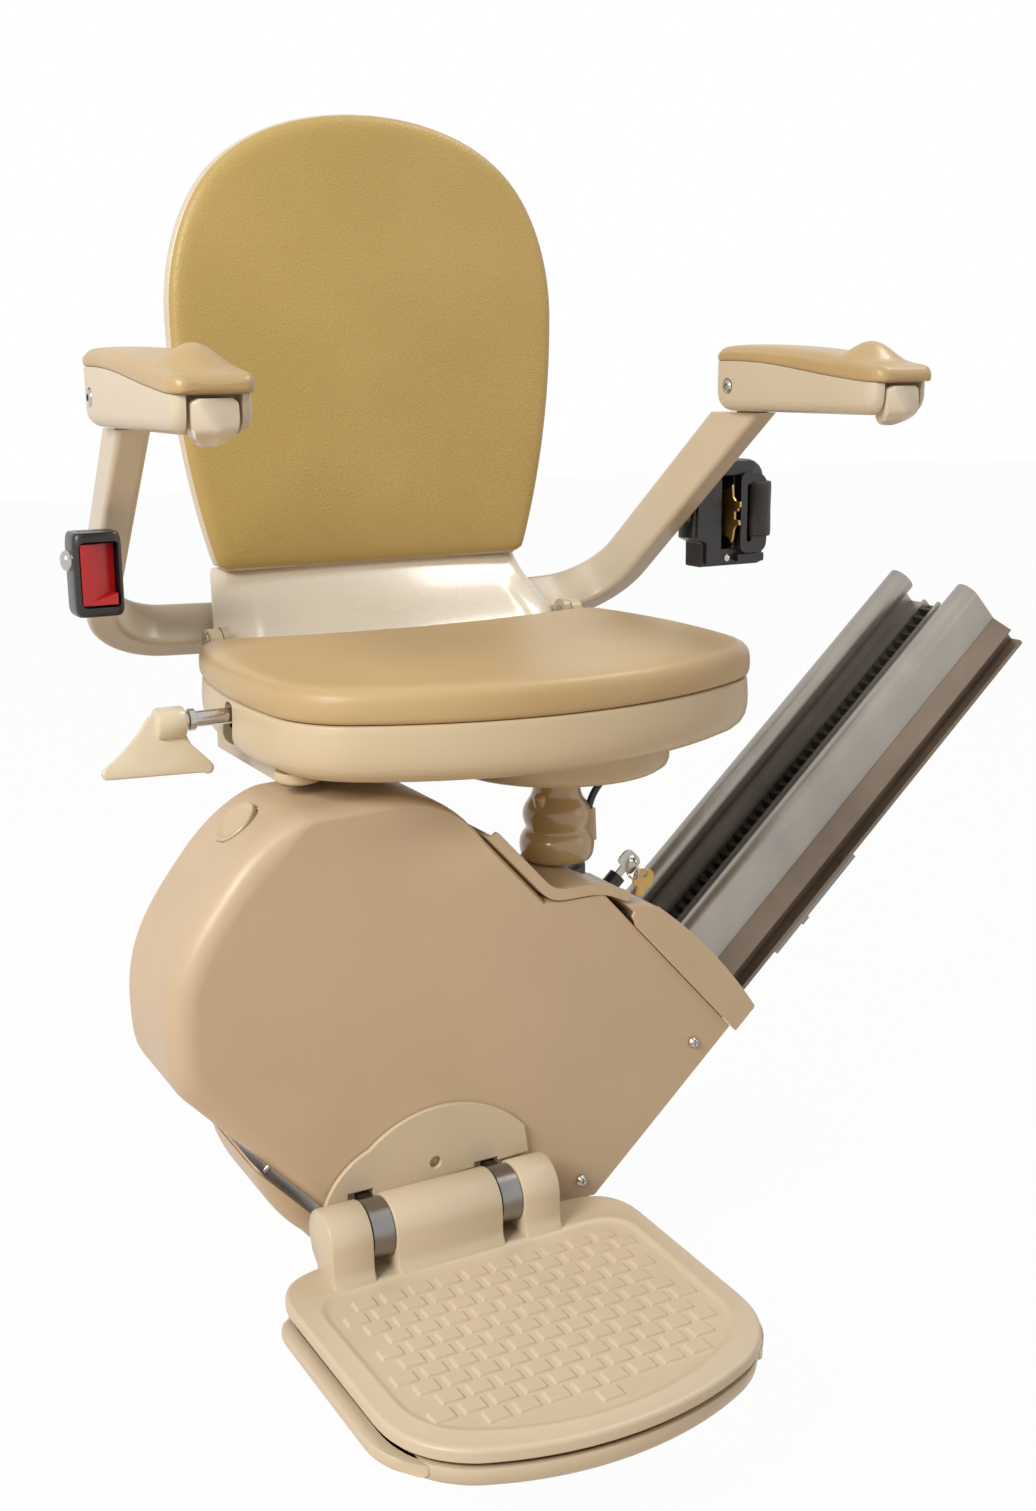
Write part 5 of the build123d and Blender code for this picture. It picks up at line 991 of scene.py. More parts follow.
# ---------------------------------------------------------------- swivel lever
# A fan-shaped ivory paddle pressed on a bright steel shaft that comes out of the tray's left
# side. Lifting or pushing it frees the seat's swivel.
LEVER_Y, LEVER_Z = -175.0, 384.0
ivory = moulding("ivory_plastic", "#DDD0B4", 0.3, 0.025, 0.04, 0.0012, 0.25)
fan = [(12, -5), (10, 6), (15, 18), (27, 31)] + arc((28.5, 33), (29, 38.5), (22, 39.5), 6)
fan += straight((14, 39), (-40, 37), 6) + arc((-47, 36.5), (-52, 33.5), (-49.5, 28.5), 6)
fan += arc((-48, 27), (-30, 13), (-14, -5), 8) + [(-8, -7), (4, -7)]
slant = Vector((0, 0.24, 0.97))
thick = Vector((0, 0.97, -0.24))
rings = []
for offset, share in ((-2.5, 0.94), (-2.1, 0.98), (-1.2, 1.0), (1.2, 1.0), (2.1, 0.98), (2.5, 0.94)):
    ring = []
    for u, v in fan:
        u, v = -8 + (u + 8) * share, 16 + (v - 16) * share
        ring.append(tuple(Vector((-246.0, LEVER_Y, LEVER_Z)) + Vector((u, 0, 0)) + slant * -v + thick
                          * offset))
    rings.append(ring)
paddle_shape = skin(rings)
hub = [(9, 0), (11.2, 0.8), (12, 2.6), (12, 19), (11, 21.2), (8, 22)]
hub = spun(hub, (-234, LEVER_Y, LEVER_Z - 1), (-1, 0, 0), 40)
paddle = moulded("swivel_lever_paddle", together(paddle_shape, hub), ivory, 40)
fitted(paddle, "lever", "ivory_plastic", "swivel_lever")
rod = bar((-159, LEVER_Y, LEVER_Z), (-238, LEVER_Y, LEVER_Z), 5.9, 32)
washer = [(6.4, 0), (8.2, 0.6), (8.2, 5), (6.4, 5.6)]
washer = spun(washer, (-226, LEVER_Y, LEVER_Z), (-1, 0, 0), 32)
shaft = moulded("swivel_lever_shaft", together(rod, washer), chrome, 40)
fitted(shaft, "lever", "polished_steel")

# ---------------------------------------------------------------- seat tray
# The moulded tray that carries the cushion, deep and round-bottomed, with a hollow rear edge and
# a scoop at the left where the lever's shaft comes out. Two ears hang it on the frame's lugs.
RIM_Z, TRAY_Z = 396.0, 350.5


def seat_plan(inset, count=200):
    """The seat in plan, drawn in by an amount: hollow rear edge, full sides and a bowed front."""
    rear = (183 - inset, -52 - inset)
    front = (191 - inset, -294 + inset)
    back_mid, side_mid = (0, -78 - inset), (201 - inset, -173)

    def flip(point):
        return -point[0], point[1]

    back = arc(flip(rear), back_mid, rear, 24)
    right = arc(rear, side_mid, front, 20)
    nose = arc(front, (0, -354 + inset), flip(front), 40)
    left = arc(flip(front), flip(side_mid), flip(rear), 20)
    big, tight = max(8.0, 34 - 0.4 * inset), max(6.0, 22 - 0.4 * inset)
    return looped([back[12:], right, nose, left, back[:13]], [0, tight, big, big, tight], count)


tray_rings = []
for z, inset in ((TRAY_Z, 60.0), (TRAY_Z, 34.0), (TRAY_Z + 0.3, 26.0), (TRAY_Z + 1.4, 19.0),
                 (TRAY_Z + 3.4, 13.0), (TRAY_Z + 6.4, 8.0), (TRAY_Z + 10.6, 4.2), (TRAY_Z + 16, 1.9),
                 (TRAY_Z + 22, 0.9), (TRAY_Z + 30, 0.7), (TRAY_Z + 38, 1.0), (RIM_Z - 2.4, 1.4),
                 (RIM_Z - 0.8, 1.8), (RIM_Z, 2.8), (RIM_Z, 4.6), (RIM_Z - 0.8, 5.4), (RIM_Z - 24, 6.0),
                 (TRAY_Z + 15, 14.0), (TRAY_Z + 8, 22.0), (TRAY_Z + 4.5, 34.0), (TRAY_Z + 4.2, 60.0)):
    tray_rings.append([(x, y, z) for x, y in seat_plan(inset)])
tray = moulded("seat_tray_moulding", skin(tray_rings), seat_plastic, 40)
slot = rounded([(-184, 394), (-166, 394), (-165.5, 381), (-140, 347), (-170, 347), (-184, 378)],
               [8, 8, 6, 0, 0, 6])
cut(tray, drawn(slot, -215, -145, "side"), finish=seat_plastic, sharp=40)


def span(side, near, far):
    """The limits in x of something on one side of the middle."""
    return sorted((side * near, side * far))


ears = []
for side in (-1, 1):
    ear = rounded([(-76, 370), (-54, 370), (-54, 388), (-40, 400), (-36, 428), (-56, 428), (-66, 396),
                   (-76, 396)], [2, 2, 4, 8, 10, 10, 6, 4])
    ears.append(drawn(ear, *span(side, 162, 172), "side"))
tray_ears = moulded("seat_tray_ears", together(*ears), seat_plastic)
cut(tray_ears, bar((-190, -46, 418), (190, -46, 418), 5.2, 24), finish=seat_plastic)
eased(tray_ears, 1.2, 3)
boss = moulded("seat_tray_boss", spun([(8, 351.5), (16.5, 351.5), (16.8, 346), (15.6, 343.6),
                                       (12, 342.4), (0, 342)], (-170, -233, 0)), seat_plastic, 50)
fitted(boss, "seat", "beige_plastic")
fitted(tray, "seat", "beige_plastic", "seat_tray")
fitted(tray_ears, "seat", "beige_plastic")

# ---------------------------------------------------------------- seat cushion
# A slab of moulded foam in smooth tan vinyl, stretched over its edge and tucked into the tray's
# rim. Its side stands nearly upright, its top is flat, and its rear edge is hollow like the tray's.


def vinyl(name, code, edge_code, grain_size, depth, rough, clouds):
    """Coated fabric: the embossed grain of hide, softer lights over its creases, a faint sheen."""
    finish, tree = blank(name, Sheen_Weight=0.05, Sheen_Roughness=0.5)
    where = tree.nodes.new("ShaderNodeTexCoord").outputs["Object"]
    wobble = added(tree, "ShaderNodeTexNoise", {"Scale": 0.35 / grain_size, "Detail": 3.0})
    warp = added(tree, "ShaderNodeVectorMath", {1: (grain_size * 2.2,) * 3}, "MULTIPLY_ADD")
    cells = tree.nodes.new("ShaderNodeTexVoronoi")
    cells.feature = "SMOOTH_F1"
    put(cells, {"Scale": 1 / grain_size, "Smoothness": 0.6})
    for start, end in ((where, wobble.inputs["Vector"]), (wobble.outputs["Color"], warp.inputs[0]),
                       (where, warp.inputs[2]), (warp.outputs[0], cells.inputs["Vector"])):
        tree.links.new(start, end)
    hide = cells.outputs["Distance"]
    dressed(tree, noise(tree, where, 7.0, 5.0), (shaded(ink(code), clouds), ink(edge_code)),
            (0.32, 0.72), hide, (rough - 0.08, rough + 0.12), hide, depth, 0.0005)
    return finish


seat_vinyl = vinyl("seat_vinyl", "#C4A777", "#CAAE80", 0.0011, 0.16, 0.4, 0.03)
pad_rings = []
for z, inset in ((RIM_Z - 7, 14.0), (RIM_Z - 6.5, 8.5), (RIM_Z - 2, 6.5), (RIM_Z + 0.2, 5.2),
                 (RIM_Z + 1.0, 2.6), (RIM_Z + 2.4, 0.9), (RIM_Z + 5, 0.1), (RIM_Z + 10, -0.2),
                 (RIM_Z + 15, 0), (RIM_Z + 18.6, 0.5), (RIM_Z + 21.4, 1.6), (RIM_Z + 23.8, 3.6),
                 (RIM_Z + 25.4, 6.2), (RIM_Z + 26.4, 9.4), (RIM_Z + 27.0, 14.0), (RIM_Z + 27.4, 21.0),
                 (RIM_Z + 27.7, 32.0)):
    pad_rings.append([(x, y, z) for x, y in seat_plan(inset)])
for share, rise in ((0.8, 28.0), (0.66, 28.2), (0.52, 28.3), (0.38, 28.3), (0.24, 28.3), (0.1, 28.3),
                    (0.02, 28.3)):
    pad_rings.append([(x * share, -195 + (y + 195) * share, RIM_Z + rise) for x, y in seat_plan(32.0)])
seat_pad = moulded("seat_pad_vinyl", skin(pad_rings), seat_vinyl, 70)
cut(seat_pad, *[brick(span(side, 152.5, 177), (-64, -20), (RIM_Z - 10, RIM_Z + 40)) for side in (-1, 1)],
    finish=seat_vinyl, sharp=60)
fitted(seat_pad, "seat", "seat_vinyl", "seat_cushion")

# ---------------------------------------------------------------- lower back panel
# The glossy moulding that sweeps from the backrest's foot to the seat's rear edge. It is dished
# in the middle and rolls back at its sides, with a raised step over each hinge lug.
panel_rows = []
ROWS = ((469.0, 141.0, 14.0, 11.0), (462.0, 142.2, 11.0, 6.5), (452.0, 144.4, 4.5, -3.0),
        (441.0, 147.8, -4.5, -15.0), (430.0, 152.0, -16.0, -28.0), (419.0, 156.0, -28.0, -43.0),
        (408.0, 158.5, -37.5, -56.0), (397.0, 159.8, -43.5, -66.0), (388.0, 160.0, -46.0, -71.0))
for z, half, edge_y, mid_y in ROWS:
    row = []
    for i in range(61):
        u = -1 + 2 * i / 60
        step = 1 / (1 + exp(-(abs(u) - 0.8) * 70))
        lift = 4.0 * step * max(0.0, min(1.0, (446 - z) / 16))
        roll = 15.0 * max(0.0, (abs(u) - 0.93) / 0.07) ** 2.2
        row.append((half * u, mid_y + (edge_y - mid_y) * u * u - lift + roll, z))
    panel_rows.append(row)
count = len(panel_rows[0])
points = [p for row in panel_rows for p in row]
faces = []
for i in range(len(panel_rows) - 1):
    for j in range(count - 1):
        faces.append((i * count + j, i * count + j + 1, (i + 1) * count + j + 1, (i + 1) * count + j))
gloss = moulding("lower_back_gloss", "#E4DAC6", 0.26, 0.02, 0.03, 0.003, 0.4)
sweep = moulded("lower_back_sweep", (points, faces), gloss, 60)
walled(sweep, 4.0, 1)
softened(sweep)
fixed(sweep, gloss, 60)
cut(sweep, *[brick(span(side, 153, 182), (-84, -31), (380, 431)) for side in (-1, 1)], finish=gloss,
    sharp=50)
eased(sweep, 0.8, 2, 50)
fitted(sweep, "chair", "ivory_plastic", "lower_back_panel")

# ---------------------------------------------------------------- back shell
# The ivory moulding that the back cushion sits in: its rim shows as a thin pale line round the
# cushion, and behind it is a smooth crowned back with a flat skirt down to the seat frame.
FOOT_Z, WIDE_Z, TOP_Z = 469.0, 675.0, 827.6


def egg(grow, count=180):
    """The backrest's front view, grown by an amount: narrow at the foot and round on top."""
    foot, wide = (137.3 + grow, FOOT_Z), (168 + grow, WIDE_Z)
    shoulder = (0.745 * (168 + grow), WIDE_Z + 0.735 * (TOP_Z + grow - WIDE_Z))
    waist = ((foot[0] + wide[0]) / 2 + 8, (foot[1] + wide[1]) / 2)
    right = arc(foot, waist, wide, 20)
    dome = flowing([wide, shoulder, (0, TOP_Z + grow)], (0, 1), (-1, 0), 20)
    right = right + dome[1:]
    left = [(-x, z) for x, z in reversed(right)]
    base = straight((-foot[0], FOOT_Z), foot, 20)
    return looped([base[10:], right, left, base[:11]], [0, 7, 0, 7], count)


shell_rings = []
for y, grow in ((5.4, 3.0), (4.8, 4.2), (5.0, 5.2), (6.4, 6.0), (10, 6.4), (15, 6.0), (21, 4.2),
                (27, 1.0), (32.5, -3.8), (37, -9.4), (40.6, -15.6), (43, -23), (44.6, -34), (45.6, -50),
                (46.2, -72)):
    shell_rings.append([(x, y, z) for x, z in egg(grow)])
shell_rings.append([(x * 0.2, 46.8, 640 + (z - 640) * 0.2) for x, z in egg(-72)])
shell_rings = [[(x, y, max(z, FOOT_Z + 0.8 + (y - 2) * 0.02)) for x, y, z in ring]
               for ring in shell_rings]
shell_plastic = moulding("shell_ivory", "#DDD0B8", 0.32, 0.025, 0.04, 0.0012, 0.15)
shell = moulded("back_shell_moulding", skin(shell_rings, False, True), shell_plastic, 50)
walled(shell, 3.0)
fixed(shell, shell_plastic, 50)
skirt_plan = rounded([(-130, 24), (-130, 46.4), (130, 46.4), (130, 24)], [0, 8, 8, 0])
skirt_inner = rounded([(-126.2, 23), (-126.2, 43), (126.2, 43), (126.2, 23)], [0, 6, 6, 0])
skirt = moulded("back_shell_skirt", drawn(skirt_plan, 342.2, 506, "top"), shell_plastic)
cut(skirt, drawn(skirt_inner, 330, 520, "top"),
    *[brick(span(side, 97.5, 150), (0, 44.5), (394.6, 439.6)) for side in (-1, 1)],
    finish=shell_plastic)
eased(skirt, 0.8, 2)
fitted(shell, "chair", "ivory_plastic", "back_shell")
fitted(skirt, "chair", "ivory_plastic")

# ---------------------------------------------------------------- back cushion
# Foam moulded to an egg shape in mustard vinyl with a pronounced grain. Its face is flat, and the
# cover turns over a close round edge to meet the shell's rim, and ends square at the foot.
back_vinyl = vinyl("back_vinyl", "#BDA25E", "#C6AA68", 0.0017, 0.5, 0.42, 0.03)
back_rings = []
for y, grow in ((20, -6), (14, 0), (10, 3.2), (7, 4.6), (4.2, 5.0), (1.6, 4.7), (-0.6, 3.4), (-2.2, 1.2),
                (-3.3, -1.8), (-3.9, -5.0), (-4.2, -9.0), (-4.5, -16), (-4.8, -28), (-5.1, -46)):
    depth_in = max(0.0, 5.0 - grow)
    foot_z = FOOT_Z + 0.5 * min(depth_in, 4.0) + 0.98 * max(0.0, depth_in - 4.0)
    back_rings.append([(x, y, max(z, foot_z)) for x, z in egg(grow)])
for share in (0.82, 0.66, 0.5, 0.34, 0.18, 0.03):
    back_rings.append([(x * share, -5.2 - 0.6 * (1 - share), 640 + (z - 640) * share)
                       for x, y, z in back_rings[13]])
back_pad = moulded("back_pad_vinyl", skin(back_rings), back_vinyl, 70)
fitted(back_pad, "chair", "back_vinyl", "backrest_cushion")

# ---------------------------------------------------------------- arm bars
# Two bent rectangular steel bars, powder-coated cream, from the cross-beam behind the seat up to
# each armrest's pivot. A steel bolt with a domed chromed head holds each armrest.
bar_paint = moulding("bar_paint", "#D4C6AE", 0.36, 0.03, 0.08, 0.0012, 0.12)
clad(bar_paint, "arm_bar_right", "arm_bar_left")
ARM_X, PIVOT_Y, PIVOT_Z = 262.5, -181, 614
bolt = [(4.0, 46), (4.0, 2.4), (5.4, 2.2), (5.6, 1.0), (4.8, -0.6), (2.6, -1.5), (2.6, 0.8), (0, 0.8)]
bolts = [spun(bolt, (arm - 26, PIVOT_Y, PIVOT_Z), (1, 0, 0), 28) for arm in (-ARM_X, ARM_X)]
pivot_bolts = moulded("arm_pivot_domes", together(*bolts), chrome, 50)
fitted(pivot_bolts, "chair", "polished_steel", "arm_pivot_bolts")

# ---------------------------------------------------------------- armrests
# Each is a hollow cream moulding with a tan self-skinned foam pad on it. The pad's seam runs in a
# long S down to the nose, where a domed stop keeps the hand, over the control in the end.
ARM_BACK, ARM_LOW, BODY_LENGTH, PAD_LENGTH = -160.0, 594.0, 206, 212.2
arm_plastic = moulding("armrest_plastic", "#D3C6AF", 0.36, 0.03, 0.05, 0.0011, 0.08)
foam = moulding("armrest_foam", "#BFA374", 0.38, 0.04, 0.12, 0.0008, 0.08)
SEAM = [(-160, 634), (-180, 634.4), (-200, 634.0), (-225, 632.6), (-250, 630.2), (-275, 627.0),
        (-300, 623.8), (-325, 621.0), (-345, 619.0), (-355, 618.2), (-374, 618)]
CREST = [(-160.3, 635.5), (-161, 638.6), (-162.2, 641.4), (-164, 643.7), (-167.5, 645.7), (-173, 646.9),
         (-182, 647.4), (-225, 646.6), (-269, 643.8), (-300, 640.4), (-325, 636.6), (-340, 633.8),
         (-352, 631.8), (-362, 630.4), (-367, 629.4), (-370, 627.6), (-371.4, 625.4), (-372.2, 622.6)]


def along(table, y):
    """A height read from a table of depths, eased between its rows."""
    for (y0, z0), (y1, z1) in zip(table, table[1:]):
        if y1 <= y <= y0:
            return z0 + (z1 - z0) * (y0 - y) / (y0 - y1)
    return table[-1][1] if y < table[-1][0] else table[0][1]


def section(x, half, low_z, high_z, low_round, high_round, steps=6, top_steps=8):
    """A rounded oblong across the arm, whose lower and upper corners have their own rounds."""
    ring = []
    corners = [(half, low_z, low_round, -90), (half, high_z, high_round, 0),
               (-half, high_z, high_round, 90), (-half, low_z, low_round, 180)]
    for index, (cx, cz, r, first) in enumerate(corners):
        mx, mz = cx - r * (1 if cx > 0 else -1), cz + r * (1 if cz == low_z else -1)
        for k in range(steps + 1):
            a = radians(first + 90 * k / steps)
            ring.append((x + mx + r * cos(a), mz + r * sin(a)))
        if index == 1:
            for k in range(1, top_steps):
                ring.append((x + (half - high_round) * (1 - 2 * k / top_steps), high_z))
    return ring


def corner_drop(distance, radius):
    """How far a round corner has drawn in at a distance from its end."""
    return radius - sqrt(max(0.0, radius ** 2 - (radius - min(distance, radius)) ** 2))


def rest_parts(side):
    """The body and pad of one armrest."""
    body_rings, pad_rings = [], []
    stations = [0.0, 0.5, 1.4, 3, 5, 8, 12, 17, 24, 34, 48, 64, 82, 100, 120, 140, 158, 172, 182, 188,
                193, 197, 200, 202.6, 204.6, BODY_LENGTH]
    for d in stations:
        y = ARM_BACK - d
        plan = 26 - corner_drop(min(d, BODY_LENGTH - d), 12) * 0.85
        low_z = ARM_LOW + corner_drop(d, 17) + corner_drop(BODY_LENGTH - d, 13)
        high_z = along(SEAM, y)
        body_rings.append([(side * px, y, pz)
                           for px, pz in section(ARM_X, plan, low_z, high_z, min(10, plan - 1), 1.0)])
    for d in (0.3, 1.0, 2.2, 4, 7.5, 13, 22, 36, 52, 70, 88, 104, 118, 128, 136, 142, 147, 151, 155, 159,
              163, 167, 171, 175, 179, 183, 187, 191, 195, 199, 203, 207, 209.6, 211.4, PAD_LENGTH):
        y = ARM_BACK - d
        front_end, rear_end = PAD_LENGTH - d, d - 0.3
        plan = 27.0 - corner_drop(min(front_end, rear_end), 13) * 0.8
        low_z = along(SEAM, y) + 0.1 + corner_drop(front_end, 4) * 0.8
        high_z = max(along(CREST, y), low_z + 2.0)
        depth = high_z - low_z
        nose = max(0.0, min(1.0, (d - 150) / 30))
        ring = []
        rounds = min(2.6, depth * 0.3), min(9.0 - 3.2 * nose, depth * 0.62)
        for px, pz in section(ARM_X, plan, low_z, high_z, *rounds):
            away = hypot((px - ARM_X) / 25.0, (y + 331) / 27.0)
            share = max(0.0, (pz - low_z) / depth - 0.25) / 0.75
            dome = 12.6 * max(0.0, 1 - away * away) ** 1.7 * share
            crown = -1.2 * ((px - ARM_X) / 22.0) ** 2 * (1 - nose) if pz > low_z + depth * 0.6 else 0
            ring.append((side * px, y, pz + dome + crown))
        pad_rings.append(ring)
    return skin(body_rings), skin(pad_rings)


for side, name in ((1, "right"), (-1, "left")):
    body_shape, pad_shape = rest_parts(side)
    rest = moulded(f"armrest_shell_{name}", body_shape, arm_plastic, 40)
    mouth = [(-374, 617.6), (-352.5, 617.6), (-351.5, 608), (-347.5, 599), (-341, 592), (-374, 586)]
    bolt_seat = bar((side * ARM_X - 24.2, PIVOT_Y, PIVOT_Z), (side * ARM_X - 30, PIVOT_Y, PIVOT_Z), 6.8,
                    32)
    cut(rest, drawn(mouth, *span(side, ARM_X - 17.4, ARM_X + 17.4), "side"), bolt_seat,
        brick(span(side, ARM_X - 7.5, ARM_X + 7.5), (-197, -159), (588, 628)), finish=arm_plastic,
        sharp=40)
    fitted(rest, f"armrest_{name}", "beige_plastic", f"armrest_body_{name}")
    pad = moulded(f"armrest_foam_{name}", pad_shape, foam, 60)
    softened(pad)
    fitted(pad, f"armrest_{name}", "armrest_foam", f"armrest_pad_{name}")

# ---------------------------------------------------------------- hand controls
# The ivory toggle in each armrest's nose: a hanging shell with a curved ridge across its scooped
# face and a round lower edge, tipped left or right by the fingers.
toggle_plastic = moulding("toggle_ivory", "#E2D6C0", 0.28, 0.025, 0.04, 0.0012, 0.3)
for side, name in ((1, "right"), (-1, "left")):
    rows = []
    across, down = 20, 18
    for j in range(down + 1):
        v = j / down
        half = 14.8 * sqrt(max(0.035, 1 - max(0.0, (v - 0.3) / 0.71) ** 2.2))
        half -= 3.8 * max(0.0, 1 - v / 0.1) ** 2
        row = []
        for i in range(across + 1):
            u = -1 + 2 * i / across
            ridge_at = -0.75 + 1.5 * v ** 1.25
            left_of = max(0.0, ridge_at - u)
            right_of = max(0.0, u - ridge_at)
            bulge = exp(-(left_of / 0.42) ** 2) if left_of else exp(-(right_of / 0.9) ** 2)
            ridge = 3.6 * (1 - v * 0.45) * bulge
            belly = 3.0 * sin(pi * min(1.0, 0.15 + v * 0.75)) * (1 - 0.55 * u * u)
            under = 15.0 * max(0.0, v - 0.62) ** 1.6 / 0.38 ** 1.6
            row.append((side * ARM_X + half * u, -364.6 - belly - ridge + under,
                        615.4 - 28.9 * v ** 0.94))
        rows.append(row)
    count = across + 1
    points = [p for row in rows for p in row]
    for j, row in enumerate(rows):
        back_y = -355.4 + 9.4 * (j / down) ** 1.6
        points += [(p[0], max(back_y, p[1] + 1.6), p[2]) for p in row]
    back = len(points) // 2
    faces = []
    for j in range(down):
        for i in range(across):
            a, b, c, d = j * count + i, j * count + i + 1, (j + 1) * count + i + 1, (j + 1) * count + i
            faces += [(a, d, c, b), (a + back, b + back, c + back, d + back)]
    border = list(range(count)) + [j * count + across for j in range(1, down + 1)]
    border += [down * count + i for i in reversed(range(across))] + [j * count
                                                                     for j in reversed(range(1, down))]
    for a, b in zip(border, border[1:] + border[:1]):
        faces.append((a, b, b + back, a + back))
    toggle = moulded(f"toggle_shell_{name}", (points, faces), toggle_plastic, 50)
    eased(toggle, 1.2, 3, 45)
    fitted(toggle, f"toggle_{name}", "ivory_plastic", f"hand_toggle_{name}")

# ---------------------------------------------------------------- seat belt
# A black nylon buckle with its red release button on the left bar. On the right bar, the reel's
# black case with the brass-plated tongue parked in its slot, and the folded webbing beside it.
buckle_case = rounded([(-299.0, -150), (-263.5, -150), (-263.5, -120), (-299.0, -120)], [7, 7, 7, 7])
rings = []
for z, share in ((460, 0.86), (461.4, 0.94), (464.5, 0.99), (468, 1.0), (511, 1.0), (516, 0.975),
                 (518.8, 0.93), (520, 0.86)):
    rings.append([(-281.2 + (x + 281.2) * share, -135 + (y + 135) * share, z) for x, y in buckle_case])
buckle = moulded("belt_buckle_case", skin(rings), black, 40)
window = rounded([(-295.2, 466.5), (-267.0, 466.5), (-267.0, 513.5), (-295.2, 513.5)], [5, 3, 3, 5])
cut(buckle, drawn(window, -152, -136.2, "front"), brick((-292, -271), (-137, -133), (500, 522)),
    finish=black, sharp=40)
eased(buckle, 1.1, 3, 40)
fitted(buckle, "chair", "black_plastic", "belt_buckle")
stalk = moulded("belt_buckle_stalk", together(brick((-270.5, -267.5), (-122, -62), (486, 506)),
                                              bar((-269, -72, 495), (-266.4, -72, 495), 6)), steel)
eased(stalk, 0.5, 2)
fitted(stalk, "chair", "steel")
rivet = moulded("belt_buckle_bolt", spun([(7.5, 0), (7.5, 2.4), (6.6, 4.4), (4.2, 5.8), (0, 6.4)],
                                         (-298.8, -135, 500), (-1, 0, 0), 32, True), chrome, 50)
fitted(rivet, "chair", "polished_steel")
red = moulding("button_red", "#B70907", 0.26, 0.08, 0.05, 0.001, 0.3)
face = [(-294.4, -139.6), (-294.4, -148.8), (-290.8, -149.2), (-276.5, -143.6), (-268.6, -141.4),
        (-268.6, -139.6)]
wedge = [(-294.0, 468.0), (-268.6, 468.0), (-268.6, 476.5), (-294.0, 468.8)]
button = moulded("belt_release_button", together(drawn(face, 468.2, 511.8, "top"),
                                                 drawn(wedge, -148.6, -140.2, "front")), red, 35)
eased(button, 0.6, 2)
fitted(button, "release_button", "button_red", "buckle_button")

reel_face = rounded([(272, 452), (350, 452), (350, 548), (272, 548)], [5, 6, 22, 10])
rings = []
for y, pull in ((-58, 1.6), (-58.5, 0.6), (-60, 0), (-80, 0), (-82.6, 0.8), (-84, 2.6)):
    rings.append([(311 + (x - 311) * (1 - pull / 39), y, 500 + (z - 500) * (1 - pull / 48))
                  for x, z in reel_face])
reel = moulded("belt_reel_case", skin(rings), black, 40)
cut(reel, drawn(rounded([(301, 468), (315, 468), (315, 534), (301, 534)], 3), -92, -66, "front"),
    drawn([(260, 440), (281, 440), (281, 474), (260, 484)], -92, -50, "front"), finish=black, sharp=40)
eased(reel, 0.8, 2, 40)
panel_face = rounded([(274, 478), (284, 474), (284, 455), (300, 455), (300, 531), (280, 538),
                      (274, 530)], 2)
cheek = drawn(panel_face, -88.0, -83.6, "front")
cap_block = drawn(rounded([(296, 534), (330, 534), (336, 541), (332, 547), (294, 547)], 3), -89.5, -83.6,
                  "front")
guide = drawn(rounded([(316.5, 464), (345, 464), (347, 500), (345, 536), (316.5, 536)],
                      [8, 10, 6, 14, 8]), -94.0, -83.6, "front")
guide_base = drawn(rounded([(318, 455), (347, 455), (347, 463), (318, 463)], 2), -89, -83.6, "front")
face_plates = moulded("belt_reel_guide", guide, black, 40)
cut(face_plates, drawn(rounded([(323.6, 474), (328.6, 474), (328.6, 526), (323.6, 526)], 2.2), -99,
                       -84.5, "front"), finish=black, sharp=40)
eased(face_plates, 1.8, 4, 40)
fitted(face_plates, "chair", "black_plastic")
plates = moulded("belt_reel_cheeks", together(cheek, cap_block, guide_base), black, 40)
eased(plates, 0.8, 2, 40)
fitted(plates, "chair", "black_plastic")
button_head = [(3.4, 0), (3.4, 1.0), (2.2, 1.8), (0, 2.0)]
spacer = moulded("belt_reel_bolt", together(bar((266.4, -72, 497), (273, -72, 497), 6.9),
                                            spun(button_head, (299, -89.4, 541), (0, -1, 0), 20),
                                            spun(button_head, (309, -84, 459.5), (0, -1, 0), 20)),
                 chrome, 40)
fitted(reel, "chair", "black_plastic", "belt_retractor")
fitted(spacer, "chair", "polished_steel")
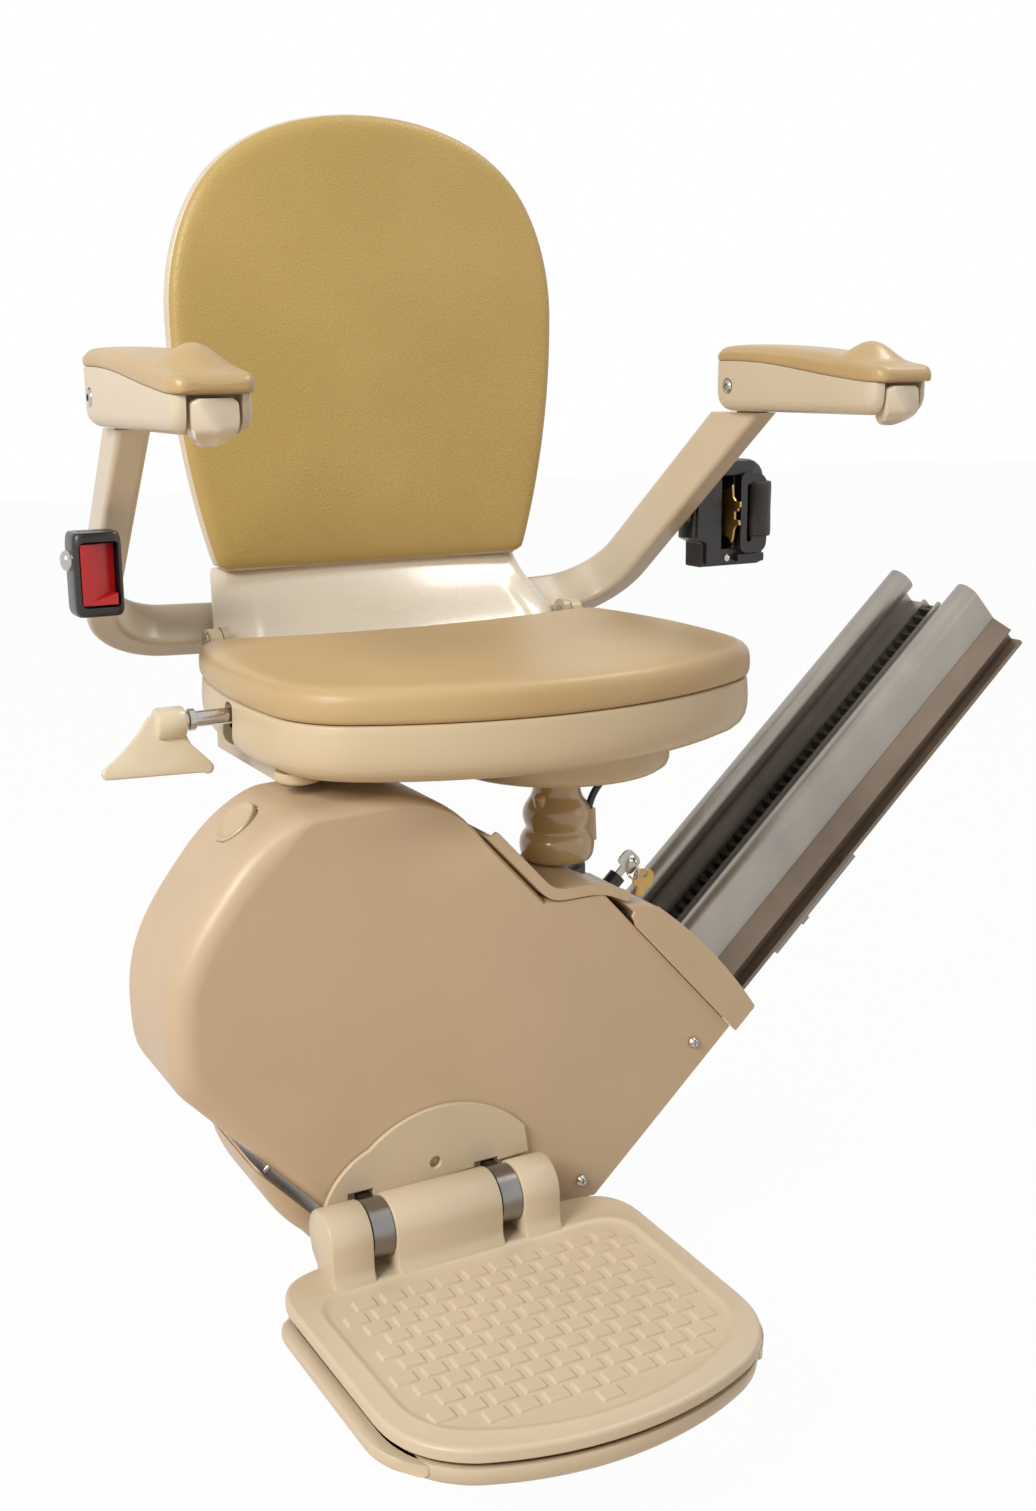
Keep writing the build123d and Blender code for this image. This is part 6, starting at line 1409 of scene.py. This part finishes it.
tongue_face = [(-68.5, 482), (-68.5, 518), (-88, 523), (-91.5, 526), (-92.8, 515), (-96.5, 511.6),
               (-103.6, 511.2), (-104, 506.6), (-101.0, 505.6), (-100.4, 502.8), (-95.6, 502.2),
               (-95.6, 495.4), (-102.4, 494.8), (-103.2, 490.4), (-97.5, 489.4), (-94.6, 485.4),
               (-92.8, 477.0), (-91, 474), (-88, 478)]
tongue = moulded("belt_tongue_plate", drawn(tongue_face, 307.8, 310.2, "side"), brass)
eased(tongue, 0.45, 2)
fitted(tongue, "tongue", "tongue_brass", "belt_tongue")


def woven(name, code):
    """Seat-belt webbing: close upright ribs crossed by finer picks, black and slightly silky."""
    finish, tree = blank(name, Sheen_Weight=0.3, Sheen_Roughness=0.4)
    where = tree.nodes.new("ShaderNodeTexCoord").outputs["Object"]
    waves = added(tree, "ShaderNodeTexWave", {"Scale": 260.0, "Distortion": 0.6, "Detail": 1.0})
    waves.bands_direction = "Z"
    tree.links.new(where, waves.inputs["Vector"])
    ribs = waves.outputs["Fac"]
    colour = ink(code)
    dressed(tree, ribs, (shaded(colour, 0.45), shaded(colour, -0.5)), (0, 1),
            noise(tree, where, 900.0, 3.0), (0.5, 0.75), ribs, 0.5, 0.0004)
    return finish


webbing = woven("belt_webbing", "#2A2220")
band = []
strap_line = [(326.8, -91.0), (328.2, -96.0), (332.5, -99.2), (339, -99.6), (346, -97.4), (351.6, -92.6),
              (354.6, -86.0), (355.4, -77), (353.4, -70), (351.6, -69), (352.8, -78), (352.0, -85.4),
              (349.2, -90.6), (344.6, -94.4), (338.4, -96.8), (333.4, -96.6), (330.4, -94.4),
              (329.4, -91.0)]
for z, pull in ((478, 0.94), (478.8, 1.0), (490, 1.0), (503, 0.97), (516, 1.0), (527.2, 1.0),
                (528, 0.94)):
    band.append([(341 + (x - 341) * pull, -84 + (y + 84) * pull, z) for x, y in strap_line])
loop = moulded("belt_webbing_loop", skin(band), webbing, 50)
softened(loop)
fitted(loop, "chair", "webbing", "belt_webbing")
